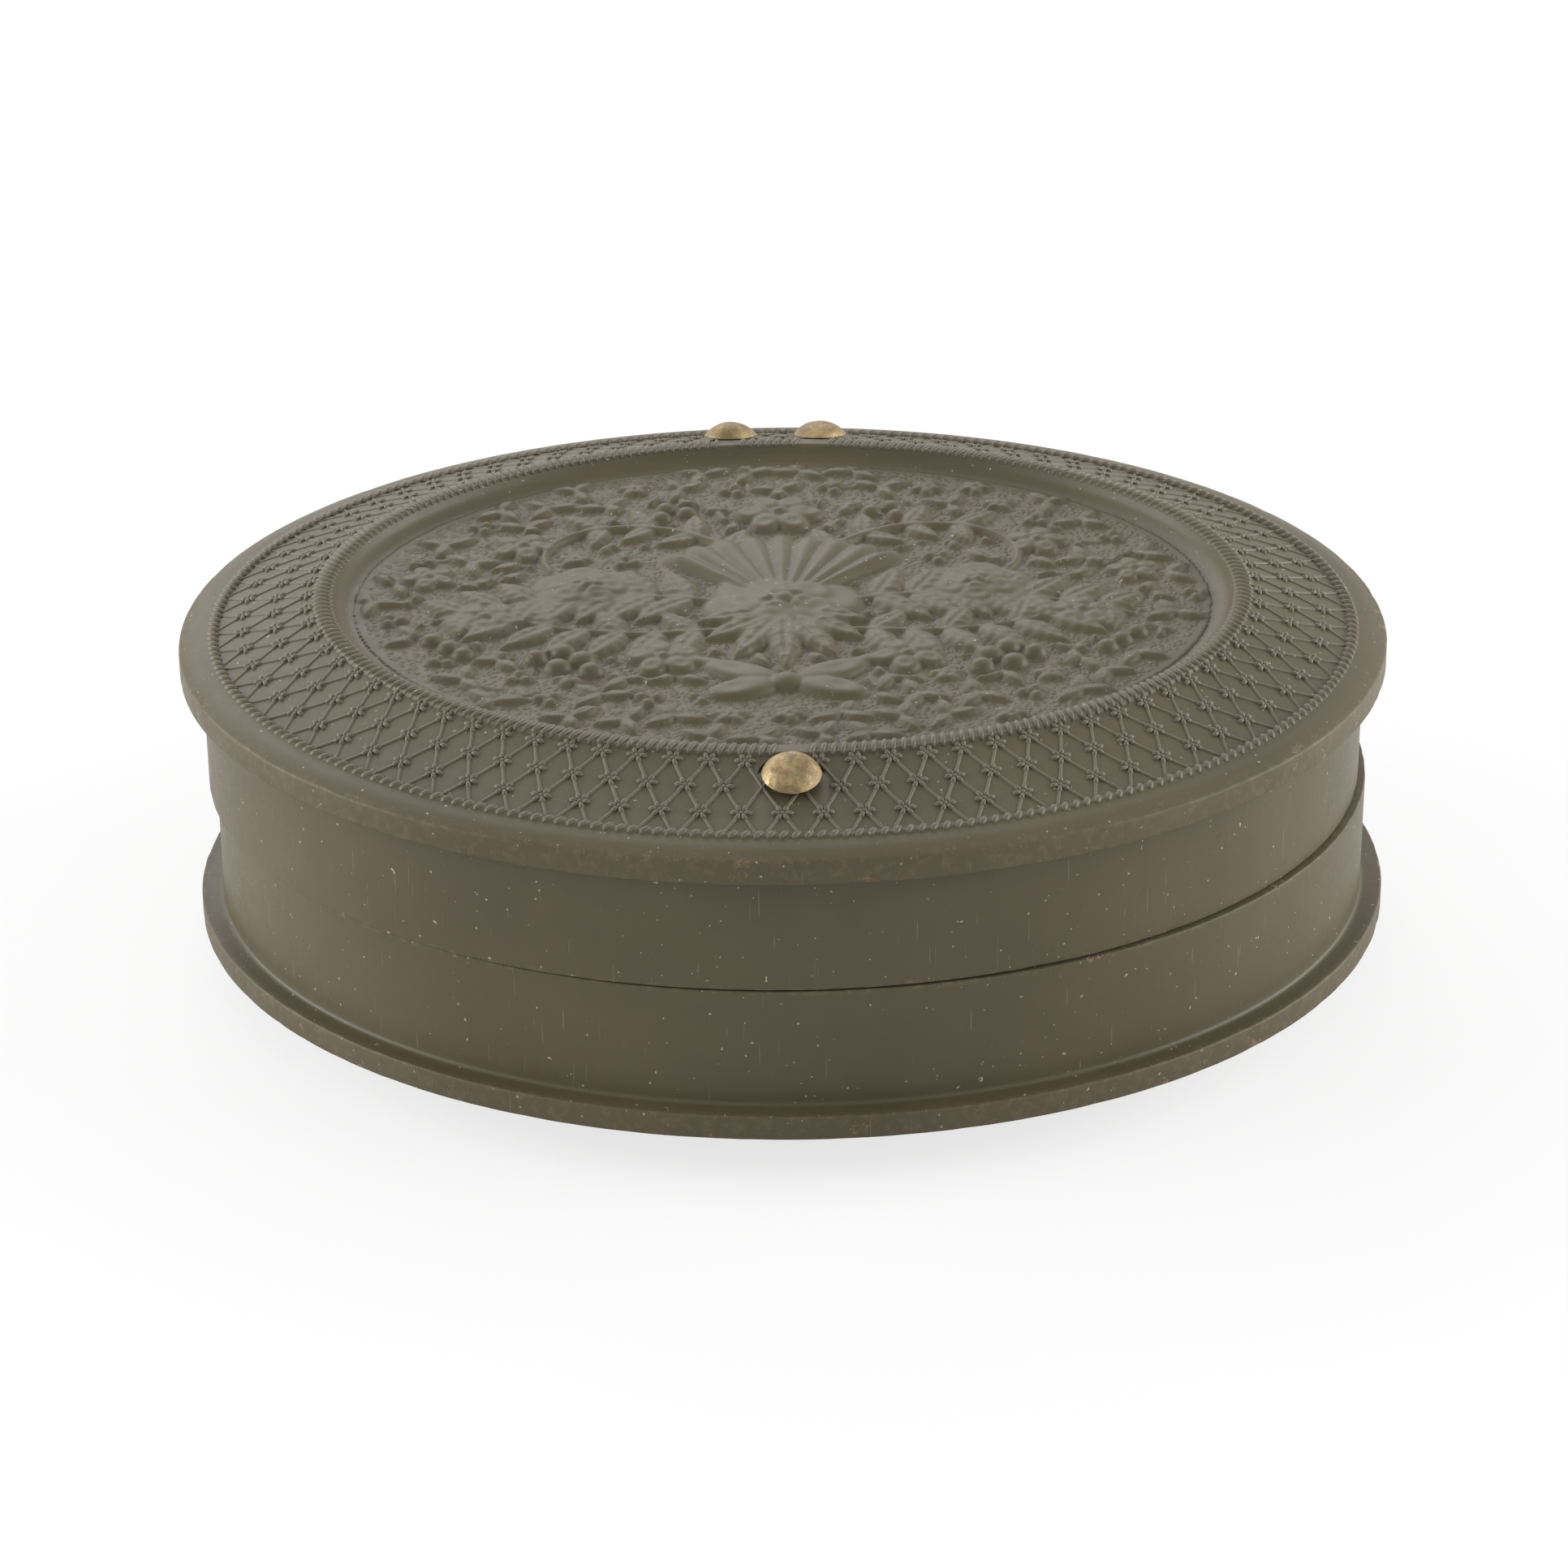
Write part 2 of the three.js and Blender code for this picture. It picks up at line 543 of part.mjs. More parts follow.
// Outline of the pad's rounded underside: its side, its shoulder and its low crown, drawn in by an inset
// and lifted by a height, from the side's top at a given height
function padCrown(inset, lift, top) {
  const side = PAD_INSET + inset;
  const shoulder = (PAD_SIDE_FACE + PAD_FACE + PAD_CROWN) / 2;
  return [
    [side, top],
    [side, PAD_SIDE_FACE + lift],
    [side + PAD_SHOULDER / 4, shoulder + lift],
    [side + PAD_SHOULDER, PAD_FACE + PAD_CROWN * 0.75 + lift],
    [side + PAD_SHOULDER * 4, PAD_FACE + PAD_CROWN * 0.3 + lift],
    [HALF_LENGTH, PAD_FACE + lift],
  ];
}

function padBatting() {
  const gap = VELVET_THICKNESS + SEAT_GAP;
  return ovalSolid([...padCrown(gap, gap, BOARD_FACE), [HALF_LENGTH, BOARD_FACE]]);
}

// Velvet drawn over the batting and down the board's edge
function velvetPad() {
  const outside = padCrown(0, 0, CEILING);
  const inside = padCrown(VELVET_THICKNESS, VELVET_THICKNESS, CEILING);
  return ovalSolid([...outside, ...inside.reverse()]);
}

const unionCase = new THREE.Group();
const lid = new THREE.Group();
const base = new THREE.Group();
lid.position.set(-LID_SLIP / 2, 0, CREST);
base.position.set(LID_SLIP / 2, 0, CREST);
unionCase.add(base, lid);

function addPiece(half, name, geometry, material) {
  const mesh = new THREE.Mesh(geometry, material);
  mesh.name = name;
  half.add(mesh);
}

function addToLid(name, solid, material) {
  addPiece(lid, name, geometryFrom(solid), material);
}

// The base's pieces are turned over about Y, so that their faces look down and the hinge stays behind
function addToBase(name, solid, material) {
  const geometry = geometryFrom(solid);
  const place = geometry.attributes.position;
  for (let i = 0; i < place.count; i += 1) {
    place.setXYZ(i, -place.getX(i), place.getY(i), -place.getZ(i));
  }
  geometry.computeVertexNormals();
  addPiece(base, name, geometry, material);
}

const half = mouldedHalf();
addToBase("base_shell", half, thermoplastic);
addToBase("hinge_leaf_base", hingeLeaf(outerKnuckles()), brass);
addToBase("hinge_pin", hingePin(), steel);
addToBase("base_hinge_rivet_left", rivet(hingeRivets[1], BASE_RIVET_RISE), brass);
addToBase("base_hinge_rivet_right", rivet(hingeRivets[0], BASE_RIVET_RISE), brass);
addToBase("base_catch_rivet", rivet(catchRivet, BASE_RIVET_RISE), brass);
addToBase("catch_keeper", catchKeeper(), brass);
addToBase("retaining_strip", retainingStrip(), velvet);
addToBase("label_paper", labelPaper(), paper);
addToBase("packing_card", packingCard(), card);
addToBase("picture_plate", picturePlate(), silvered);
addToBase("brass_mat", brassMat(), brass);
addToBase("cover_glass", coverGlass(), glass);
addToBase("binding_tape", bindingTape(), paper);
addToBase("preserver", preserver(), brass);

addToLid("lid_shell", half, thermoplastic);
addToLid("hinge_leaf_lid", hingeLeaf(middleKnuckle()), brass);
addToLid("lid_hinge_rivet_left", rivet(hingeRivets[0], LID_RIVET_RISE), brass);
addToLid("lid_hinge_rivet_right", rivet(hingeRivets[1], LID_RIVET_RISE), brass);
addToLid("lid_catch_rivet", rivet(catchRivet, LID_RIVET_RISE), brass);
addToLid("catch_tongue", catchTongue(), brass);
addToLid("pad_board", padBoard(), card);
addToLid("pad_batting", padBatting(), cotton);
addToLid("velvet_pad", velvetPad(), velvet);

export default unionCase;
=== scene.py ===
from contextlib import contextmanager
from math import asin, atan2, cos, hypot, pi, radians, sin, sqrt

import bmesh
import bpy
import numpy as np
from mathutils import Matrix, Vector, noise


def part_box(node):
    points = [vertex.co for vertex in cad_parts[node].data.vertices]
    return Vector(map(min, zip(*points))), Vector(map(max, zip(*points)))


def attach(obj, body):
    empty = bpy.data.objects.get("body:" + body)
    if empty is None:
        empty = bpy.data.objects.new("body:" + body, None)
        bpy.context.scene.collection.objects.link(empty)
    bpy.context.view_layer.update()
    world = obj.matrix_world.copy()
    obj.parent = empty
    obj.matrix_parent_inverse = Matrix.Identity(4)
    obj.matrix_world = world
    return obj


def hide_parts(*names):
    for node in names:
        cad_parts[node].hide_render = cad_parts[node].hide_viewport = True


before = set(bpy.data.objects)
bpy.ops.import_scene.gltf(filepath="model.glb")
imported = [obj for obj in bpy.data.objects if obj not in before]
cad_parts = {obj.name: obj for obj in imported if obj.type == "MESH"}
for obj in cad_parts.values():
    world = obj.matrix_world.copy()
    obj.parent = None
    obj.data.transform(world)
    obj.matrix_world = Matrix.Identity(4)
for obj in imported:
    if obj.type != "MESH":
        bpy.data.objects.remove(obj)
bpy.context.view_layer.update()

# Camera: it stands in front of the catch and a little to the left, and looks down on the lid.
# Its distance, heights and lens come from the outlines of the flanges, the ropes and the seam.
MM = 0.001
LID_LOW, LID_HIGH = (Vector(corner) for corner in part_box("lid_shell"))
BASE_LOW, BASE_HIGH = (Vector(corner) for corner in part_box("base_shell"))
FLANGE_DROP = 3.1 * MM
CAMERA_DISTANCE = 316.4 * MM
CAMERA_ELEVATION = radians(24.79)
CAMERA_AZIMUTH = radians(1.0)
CAMERA_EXTRA_PITCH = radians(1.90)
CAMERA_ROLL = radians(0.34)
CAMERA_LENS = 110.6
SENSOR_WIDTH = 36
NEAREST_SEEN = 10 * MM


def new_object(name, data):
    piece = bpy.data.objects.new(name, data)
    bpy.context.scene.collection.objects.link(piece)
    return piece


lid_middle = Vector(((LID_LOW.x + LID_HIGH.x) / 2, 0, LID_HIGH.z - FLANGE_DROP))
away = Vector((-sin(CAMERA_AZIMUTH) * cos(CAMERA_ELEVATION),
               -cos(CAMERA_AZIMUTH) * cos(CAMERA_ELEVATION),
               sin(CAMERA_ELEVATION)))
camera_data = bpy.data.cameras.new("camera")
camera_data.lens = CAMERA_LENS
camera_data.sensor_width = SENSOR_WIDTH
camera_data.sensor_fit = "HORIZONTAL"
camera_data.clip_start = NEAREST_SEEN
camera = new_object("camera", camera_data)
camera.matrix_world = (
    Matrix.Translation(lid_middle + away * CAMERA_DISTANCE)
    @ Matrix.Rotation(-CAMERA_AZIMUTH, 4, "Z")
    @ Matrix.Rotation(pi / 2 - CAMERA_ELEVATION - CAMERA_EXTRA_PITCH, 4, "X")
    @ Matrix.Rotation(-CAMERA_ROLL, 4, "Z"))
bpy.context.scene.camera = camera

# Light: a white tent round the case, with two broad soft lamps at its sides and one above and behind.
# The world shows white to the camera, to gloss and to glass, and lights the object softly.

# In a node tree a value is one output of a node, and arithmetic on values adds Math nodes. A tree adds
# any other node from its type, its settings and the values or links of its sockets.
def operator(operation, reflected=False):
    def apply(value, other):
        terms = (other, value) if reflected else (value, other)
        return value.tree.math(operation, *terms)
    return apply


class Value:
    def __init__(self, tree, socket):
        self.tree = tree
        self.socket = socket

    def clamped(self):
        return self.tree.math("MINIMUM", self.tree.math("MAXIMUM", self, 0.0), 1.0)

    __add__ = operator("ADD")
    __radd__ = operator("ADD", True)
    __sub__ = operator("SUBTRACT")
    __rsub__ = operator("SUBTRACT", True)
    __mul__ = operator("MULTIPLY")
    __rmul__ = operator("MULTIPLY", True)
    __truediv__ = operator("DIVIDE")
    __rtruediv__ = operator("DIVIDE", True)


class Tree:
    def __init__(self, nodes, links):
        self.nodes = nodes
        self.links = links

    def node(self, kind, settings=None, sockets=None, output=0):
        node = self.nodes.new(kind)
        for name, value in (settings or {}).items():
            if name == "stops":
                ramp = node.color_ramp
                while len(ramp.elements) < len(value):
                    ramp.elements.new(0.5)
                for element, (place, colour) in zip(ramp.elements, value):
                    element.position = place
                    element.color = colour
            else:
                setattr(node, name, value)
        for name, value in (sockets or {}).items():
            if isinstance(value, Value):
                self.links.new(value.socket, node.inputs[name])
            else:
                node.inputs[name].default_value = value
        return Value(self, node.outputs[output]) if len(node.outputs) else None

    def shade(self, kind, sockets=None, output=0):
        return self.node("ShaderNode" + kind, None, sockets, output)

    def shape(self, kind, sockets=None, output=0):
        return self.node("GeometryNode" + kind, None, sockets, output)

    def math(self, operation, *terms, kind="ShaderNodeMath"):
        return self.node(kind, {"operation": operation}, dict(enumerate(terms)))

    def ramp(self, factor, low, high):
        stops = [(low, (0, 0, 0, 1)), (high, (1, 1, 1, 1))]
        return self.node("ShaderNodeValToRGB", {"stops": stops}, {"Fac": factor})

    def mix(self, factor, first, second):
        sockets = {0: factor, 6: first, 7: second}
        return self.node("ShaderNodeMix", {"data_type": "RGBA"}, sockets, 2)

    def vector(self, x=0.0, y=0.0, z=0.0):
        return self.shade("CombineXYZ", {"X": x, "Y": y, "Z": z})

    def attribute(self, name):
        return self.node("ShaderNodeAttribute", {"attribute_name": name}, None, "Fac")


WORLD_LIGHT = 0.55
LAMP_AIM = Vector((0, 0, 0.01))
world = bpy.data.worlds.new("tent")
world.use_nodes = True
world.node_tree.nodes.clear()
tent = Tree(world.node_tree.nodes, world.node_tree.links)
seen_by_camera = tent.shade("LightPath", None, "Is Camera Ray")
seen_in_gloss = tent.shade("LightPath", None, "Is Glossy Ray")
seen_through = tent.shade("LightPath", None, "Is Transmission Ray")
seen = (seen_by_camera + seen_in_gloss + seen_through).clamped()
sky = tent.shade("Background", {
    "Color": (1, 1, 1, 1), "Strength": seen * (1 - WORLD_LIGHT) + WORLD_LIGHT})
tent.shade("OutputWorld", {"Surface": sky})
bpy.context.scene.world = world
bpy.context.scene.view_settings.view_transform = "Standard"


def soft_lamp(name, place, size, power):
    lamp = bpy.data.lights.new(name, "AREA")
    lamp.shape = "RECTANGLE"
    lamp.size, lamp.size_y = size
    lamp.energy = power
    holder = new_object(name, lamp)
    holder.location = place
    holder.rotation_euler = (LAMP_AIM - Vector(place)).to_track_quat("-Z", "Y").to_euler()


soft_lamp("left_lamp", (-0.42, 0.02, 0.12), (0.4, 0.3), 2.5)
soft_lamp("right_lamp", (0.42, 0.02, 0.12), (0.4, 0.3), 2.6)
soft_lamp("rear_lamp", (-0.12, 0.42, 0.3), (0.4, 0.3), 0.8)

# Floor: a plain white sheet that runs far behind the case. It keeps the case's shadow.
FLOOR_HALF = 3.0
FLOOR_GLOW = 0.75
floor_corners = [(x * FLOOR_HALF, y * FLOOR_HALF, 0) for x, y in ((-1, -1), (1, -1), (1, 1), (-1, 1))]
floor_mesh = bpy.data.meshes.new("floor")
floor_mesh.from_pydata(floor_corners, [], [(0, 1, 2, 3)])
floor = new_object("floor", floor_mesh)


def new_material(name):
    material = bpy.data.materials.new(name)
    material.use_nodes = True
    material.node_tree.nodes.clear()
    return material, Tree(material.node_tree.nodes, material.node_tree.links)


floor_material, floor_tree = new_material("white_sheet")
floor_camera = floor_tree.shade("LightPath", None, "Is Camera Ray")
floor_diffuse = floor_tree.shade("BsdfDiffuse", {"Color": (0.86, 0.86, 0.86, 1)})
floor_glow = floor_tree.shade("Emission", {"Color": (1, 1, 1, 1), "Strength": 1.0})
floor_surface = floor_tree.shade("MixShader", {
    0: floor_camera * FLOOR_GLOW, 1: floor_diffuse, 2: floor_glow})
floor_tree.shade("OutputMaterial", {"Surface": floor_surface})
floor_mesh.materials.append(floor_material)

# Moulded halves: two like trays of pressed shellac and wood fibre, each with a flange, a plain wall,
# a carved face and a hollow. The lid's and the base's faces carry the same borders. The mesh is
# carried round the oval from one outline, and the room for hinge, catch and rivets is cut from it.
HALF_LENGTH = (LID_HIGH.x - LID_LOW.x) / 2
HALF_WIDTH = (LID_HIGH.y - LID_LOW.y) / 2
SEAM = (LID_LOW.z + BASE_HIGH.z) / 2
CREST = LID_HIGH.z - SEAM
RIM = LID_LOW.z - SEAM
LID_SHIFT = (LID_LOW.x + LID_HIGH.x) / 2
BASE_SHIFT = (BASE_LOW.x + BASE_HIGH.x) / 2
WALL_OUTSIDE = 1.45 * MM
WALL_INSIDE = 3.05 * MM
FLANGE_TOP = CREST - FLANGE_DROP
FLANGE_BOTTOM = FLANGE_TOP - 1.6 * MM
OUTER_ROPE_INSET = 2.25 * MM
OUTER_ROPE_CREST = CREST - 2.2 * MM
BAND_START = 2.62 * MM
BAND_FOOT = CREST - 2.5 * MM
INNER_ROPE_START = 8.8 * MM
INNER_ROPE_END = 10.1 * MM
BAND_HEAD = CREST - 0.48 * MM
PANEL_INSET = 11.0 * MM
PANEL = CREST - 1.3 * MM
CEILING = PANEL - 2.6 * MM
AROUND = 320
CORNER_STEPS = 3


def rounded(corner, before, after, radius):
    corner, before, after = (np.array(point) for point in (corner, before, after))
    start = corner + (before - corner) / np.linalg.norm(before - corner) * radius
    end = corner + (after - corner) / np.linalg.norm(after - corner) * radius
    points = []
    for step in range(CORNER_STEPS + 1):
        share = step / CORNER_STEPS
        points.append((1 - share) ** 2 * start + 2 * share * (1 - share) * corner + share ** 2 * end)
    return points


def soft_outline(corners):
    outline = []
    count = len(corners)
    for i, (inset, height, radius) in enumerate(corners):
        if radius == 0:
            outline.append(np.array((inset, height)))
            continue
        before = corners[i - 1][:2]
        after = corners[(i + 1) % count][:2]
        outline.extend(rounded((inset, height), before, after, radius))
    return outline


def oval_half_width(half_length):
    narrowing = HALF_LENGTH - HALF_WIDTH
    panel = HALF_LENGTH - PANEL_INSET
    return np.where(half_length > panel, half_length - narrowing, half_length * (panel - narrowing) / panel)


def inset_of(x, y):
    inset = np.zeros_like(x)
    for _ in range(12):
        a = HALF_LENGTH - inset
        b = HALF_WIDTH - inset
        reach = np.sqrt((x / a) ** 2 + (y / b) ** 2)
        inset = inset + (1 - reach) * (a + b) / 2
        inset = np.minimum(inset, HALF_WIDTH - 2 * MM)
    return inset


def oval_mesh(name, outline):
    points = np.array(outline)
    r = HALF_LENGTH - points[:, 0]
    angle = np.linspace(0, 2 * pi, AROUND, endpoint=False)
    x = np.outer(r, np.cos(angle))
    y = np.outer(oval_half_width(r), np.sin(angle))
    z = np.repeat(points[:, 1][:, None], AROUND, axis=1)
    vertices = np.stack([x, y, z], -1).reshape(-1, 3)
    rows = len(points)
    faces = []
    for row in range(rows):
        below = (row + 1) % rows
        for column in range(AROUND):
            side = (column + 1) % AROUND
            faces.append((row * AROUND + column, row * AROUND + side,
                          below * AROUND + side, below * AROUND + column))
    mesh = bpy.data.meshes.new(name)
    mesh.from_pydata(vertices.tolist(), [], faces)
    return mesh


@contextmanager
def editing(mesh, *sources):
    builder = bmesh.new()
    for source in sources:
        builder.from_mesh(source)
    yield builder
    builder.to_mesh(mesh)
    builder.free()


def smooth(mesh, angle):
    mesh.shade_smooth()
    mesh.set_sharp_from_angle(angle=radians(angle))


def prism(name, outline, low, high):
    mesh = bpy.data.meshes.new(name)
    with editing(mesh) as builder:
        bottom = builder.faces.new([builder.verts.new((x, y, low)) for x, y in outline])
        made = bmesh.ops.extrude_face_region(builder, geom=[bottom])["geom"]
        for vertex in (item for item in made if isinstance(item, bmesh.types.BMVert)):
            vertex.co.z = high
        bmesh.ops.recalc_face_normals(builder, faces=builder.faces)
    return mesh


def disc_outline(x, y, radius, steps=40):
    turn = [2 * pi * step / steps for step in range(steps)]
    return [(x + radius * cos(a), y + radius * sin(a)) for a in turn]


def evaluated_mesh(piece):
    return bpy.data.meshes.new_from_object(piece.evaluated_get(bpy.context.evaluated_depsgraph_get()))


def cut_from(mesh, tools):
    piece = new_object("blank", mesh)
    holders = []
    for tool in tools:
        holder = new_object("tool", tool)
        holders.append(holder)
        cutter = piece.modifiers.new("cut", "BOOLEAN")
        cutter.operation = "DIFFERENCE"
        cutter.solver = "EXACT"
        cutter.object = holder
    result = evaluated_mesh(piece)
    for item in (piece, *holders):
        bpy.data.objects.remove(item)
    return result


RIVET_INSET = 7.0 * MM
RIVET_SPACING = 6.3 * MM
RIVET_SHARE = (RIVET_INSET - BAND_START) / (INNER_ROPE_START - BAND_START)
RIVET_SEAT = BAND_FOOT + RIVET_SHARE * (BAND_HEAD - BAND_FOOT) + 0.1 * MM
RIVET_ROOM = 2.13 * MM
SHANK_ROOM = 0.65 * MM
HINGE_Y = HALF_WIDTH - 1.05 * MM
KNUCKLE_ROOM = 1.2 * MM
HINGE_ROOM = 7.3 * MM
PASS_HEIGHT = 0.77 * MM
FOOT_POCKET = CEILING + 0.9 * MM
FOOT_REACH = 9.45 * MM
LEAF_HALF = 6.25 * MM
KEEPER_HALF = 4.25 * MM
rivet_places = [(0, RIVET_INSET - HALF_WIDTH)]
rivet_places += [(side * RIVET_SPACING / 2, HALF_WIDTH - RIVET_INSET) for side in (-1, 1)]


def foot_outline(half, side):
    a = HALF_LENGTH - WALL_INSIDE
    b = HALF_WIDTH - WALL_INSIDE
    across = np.linspace(half, -half, 9)
    outline = [(x, side * b * sqrt(1 - (x / a) ** 2)) for x in across]
    end = side * (HALF_WIDTH - FOOT_REACH)
    return outline + [(-half, end), (half, end)]


def moulded_mesh():
    wall_rows = [(WALL_OUTSIDE, RIM + step * MM, 0.0) for step in (0.35, 1.0, 2.5, 4.2, 6.0, 7.2)]
    outline = soft_outline([
        (WALL_OUTSIDE, RIM, 0.12 * MM),
        *wall_rows,
        (WALL_OUTSIDE, FLANGE_BOTTOM, 0.3 * MM),
        (WALL_OUTSIDE - 0.9 * MM, FLANGE_BOTTOM, 0.0),
        (0, FLANGE_BOTTOM, 0.16 * MM),
        (0, FLANGE_TOP, 0.16 * MM),
        (1.0 * MM, FLANGE_TOP + 0.42 * MM, 0.3 * MM),
        (OUTER_ROPE_INSET - 0.4 * MM, BAND_FOOT - 0.02 * MM, 0.08 * MM),
        (OUTER_ROPE_INSET - 0.2 * MM, BAND_FOOT + 0.12 * MM, 0.1 * MM),
        (OUTER_ROPE_INSET + 0.2 * MM, BAND_FOOT + 0.12 * MM, 0.1 * MM),
        (BAND_START, BAND_FOOT, 0.08 * MM),
        (INNER_ROPE_START, BAND_HEAD, 0.06 * MM),
        (INNER_ROPE_START + 0.15 * MM, CREST - 0.25 * MM, 0.06 * MM),
        (INNER_ROPE_END - 0.15 * MM, CREST - 0.2 * MM, 0.06 * MM),
        (INNER_ROPE_END, CREST - 0.35 * MM, 0.08 * MM),
        (INNER_ROPE_END + 0.3 * MM, PANEL + 0.4 * MM, 0.25 * MM),
        (PANEL_INSET, PANEL, 0.3 * MM),
        (PANEL_INSET + 1.0 * MM, PANEL - 0.05 * MM, 0.0),
        (PANEL_INSET + 1.0 * MM, PANEL - 0.4 * MM, 0.0),
        (HALF_LENGTH, PANEL - 0.4 * MM, 0.0),
        (HALF_LENGTH, CEILING, 0.0),
        (WALL_INSIDE, CEILING, 0.25 * MM),
        (WALL_INSIDE, RIM, 0.12 * MM),
    ])
    mesh = oval_mesh("moulded_half", outline)
    with editing(mesh, mesh) as builder:
        bmesh.ops.remove_doubles(builder, verts=builder.verts, dist=0.001 * MM)
        loose = [face for face in builder.faces if face.calc_area() < 1e-14]
        bmesh.ops.delete(builder, geom=loose, context="FACES")
        bmesh.ops.recalc_face_normals(builder, faces=builder.faces)
    front = HALF_WIDTH - 6 * MM
    leaf_pass = [(-LEAF_HALF, front), (LEAF_HALF, front), (LEAF_HALF, HALF_WIDTH), (-LEAF_HALF, HALF_WIDTH)]
    tools = [prism("pass", leaf_pass, -1 * MM, PASS_HEIGHT)]
    knuckle = prism("knuckle", disc_outline(0, 0, KNUCKLE_ROOM), -HINGE_ROOM, HINGE_ROOM)
    knuckle.transform(Matrix.Translation((0, HINGE_Y, 0)) @ Matrix.Rotation(pi / 2, 4, "Y"))
    tools.append(knuckle)
    tools.append(prism("hinge_pocket", foot_outline(LEAF_HALF, 1), CEILING - MM, FOOT_POCKET))
    tools.append(prism("catch_pocket", foot_outline(KEEPER_HALF, -1), CEILING - MM, FOOT_POCKET))
    for x, y in rivet_places:
        tools.append(prism("seat", disc_outline(x, y, RIVET_ROOM), RIVET_SEAT, CREST + MM))
        tools.append(prism("hole", disc_outline(x, y, SHANK_ROOM, 24), CEILING, CREST + MM))
    return cut_from(mesh, tools)


# A finish is the node tree of one material: its patterns follow the object's own coordinates, and it ends
# in one principled shader.
class Finish(Tree):
    def __init__(self, name):
        self.material, tree = new_material(name)
        super().__init__(tree.nodes, tree.links)
        self.place = self.shade("TexCoord", None, "Object")

    def noise(self, scale, detail, roughness, place=None):
        return self.shade("TexNoise", {
            "Vector": place or self.place, "Scale": scale, "Detail": detail, "Roughness": roughness})

    def stretched(self, scale):
        return self.shade("Mapping", {"Vector": self.place, "Scale": scale})

    def patches(self, low, high, *noise):
        return self.ramp(self.noise(*noise), low, high)

    def surface(self, sockets, bump=None, bump_depth=0.0):
        if bump is not None:
            sockets["Normal"] = self.shade("Bump", {"Height": bump, "Distance": bump_depth})
        self.shade("OutputMaterial", {"Surface": self.shade("BsdfPrincipled", sockets)})
        return self.material


# The moulded halves' finish: olive brown, satin, with a fine grain, scratches on the walls, specks of
# pale dust and tan wear where the composition is chipped along its edges. It also has painted highlights:
# broken lighter patches along the flange edges, and a lighter tone on the raised ropes, threads and stars.
def moulded_finish():
    tree = Finish("pressed_composition")
    cloud = tree.noise(60.0, 5.0, 0.6)
    grain = tree.noise(2600.0, 3.0, 0.6)
    fine = tree.noise(900.0, 6.0, 0.7)
    wear = tree.attribute("wear")
    broken_edge_highlight = tree.patches(0.5, 0.62, 1500.0, 4.0, 0.7)
    chips = tree.patches(0.61, 0.66, 420.0, 5.0, 0.75)
    dust = tree.patches(0.755, 0.77, 2900.0, 1.0, 0.5)
    stretched = tree.stretched((1.0, 1.0, 0.05))
    scratches = tree.patches(0.70, 0.74, 5200.0, 2.0, 0.5, stretched)
    colour = tree.mix(tree.ramp(cloud, 0.35, 0.7), (0.092, 0.075, 0.043, 1), (0.074, 0.060, 0.034, 1))
    # Painted highlight: the whole raised border is lightened, as if light caught its crests
    crest = tree.attribute("crest")
    colour = tree.mix(crest * (fine * 0.5 + 0.25), colour, (0.165, 0.143, 0.105, 1))
    # Painted highlight: broken lighter patches along the flange edges, standing in for light glinting there
    colour = tree.mix(wear * broken_edge_highlight * 0.5, colour, (0.15, 0.115, 0.07, 1))
    colour = tree.mix((wear * chips).clamped() * 0.8, colour, (0.27, 0.17, 0.085, 1))
    colour = tree.mix(scratches * 0.35, colour, (0.2, 0.18, 0.14, 1))
    colour = tree.mix(dust * 0.7, colour, (0.42, 0.38, 0.3, 1))
    stipple = tree.attribute("stipple")
    dots = tree.shade("TexVoronoi", {"Vector": tree.place, "Scale": 2700.0}, "Distance")
    dots = 1 - (dots * 1.6).clamped()
    bump = grain * 0.12 + fine * 0.35 - wear * chips * 1.5 - scratches * 0.15 + stipple * dots * 1.6
    roughness = fine * 0.2 + wear * 0.1 + 0.36
    sockets = {"Base Color": colour, "Roughness": roughness, "IOR": 1.45, "Specular IOR Level": 0.34}
    return tree.surface(sockets, bump, 0.05 * MM)


union_finish = moulded_finish()


def places_of(mesh):
    places = np.empty(len(mesh.vertices) * 3)
    mesh.vertices.foreach_get("co", places)
    return places.reshape(-1, 3)


def mark(mesh, name, values):
    mesh.attributes.new(name, "FLOAT", "POINT").data.foreach_set("value", values)


def cover(mesh, material):
    mesh.materials.clear()
    mesh.materials.append(material)


# The edge mask drives real wear and nicks, and it also places the painted highlight along the flange edges
def mark_edge_wear_and_highlight(mesh):
    places = places_of(mesh)
    inset = inset_of(places[:, 0], places[:, 1])
    height = places[:, 2]
    edges = [(0, FLANGE_BOTTOM), (0, FLANGE_TOP), (WALL_OUTSIDE, RIM)]
    wear = np.zeros(len(places))
    for edge_inset, edge_height in edges:
        distance = np.hypot(inset - edge_inset, height - edge_height)
        wear = np.maximum(wear, np.clip(1.25 - distance / (0.24 * MM), 0, 1))
    mark(mesh, "wear", wear.astype(np.float32))
    for i in np.nonzero(wear > 0.2)[0]:
        point = Vector(places[i])
        nick = max(0.0, noise.noise(point * 700) * 0.7 + noise.noise(point * 1900) * 0.5)
        inward = Vector((-point.x / HALF_LENGTH, -point.y / HALF_WIDTH, 0)).normalized()
        mesh.vertices[i].co = point + inward * nick * 0.09 * MM


half_mesh = moulded_mesh()
mark_edge_wear_and_highlight(half_mesh)
cover(half_mesh, union_finish)
for polygon in half_mesh.polygons:
    polygon.material_index = 0
smooth(half_mesh, 35)

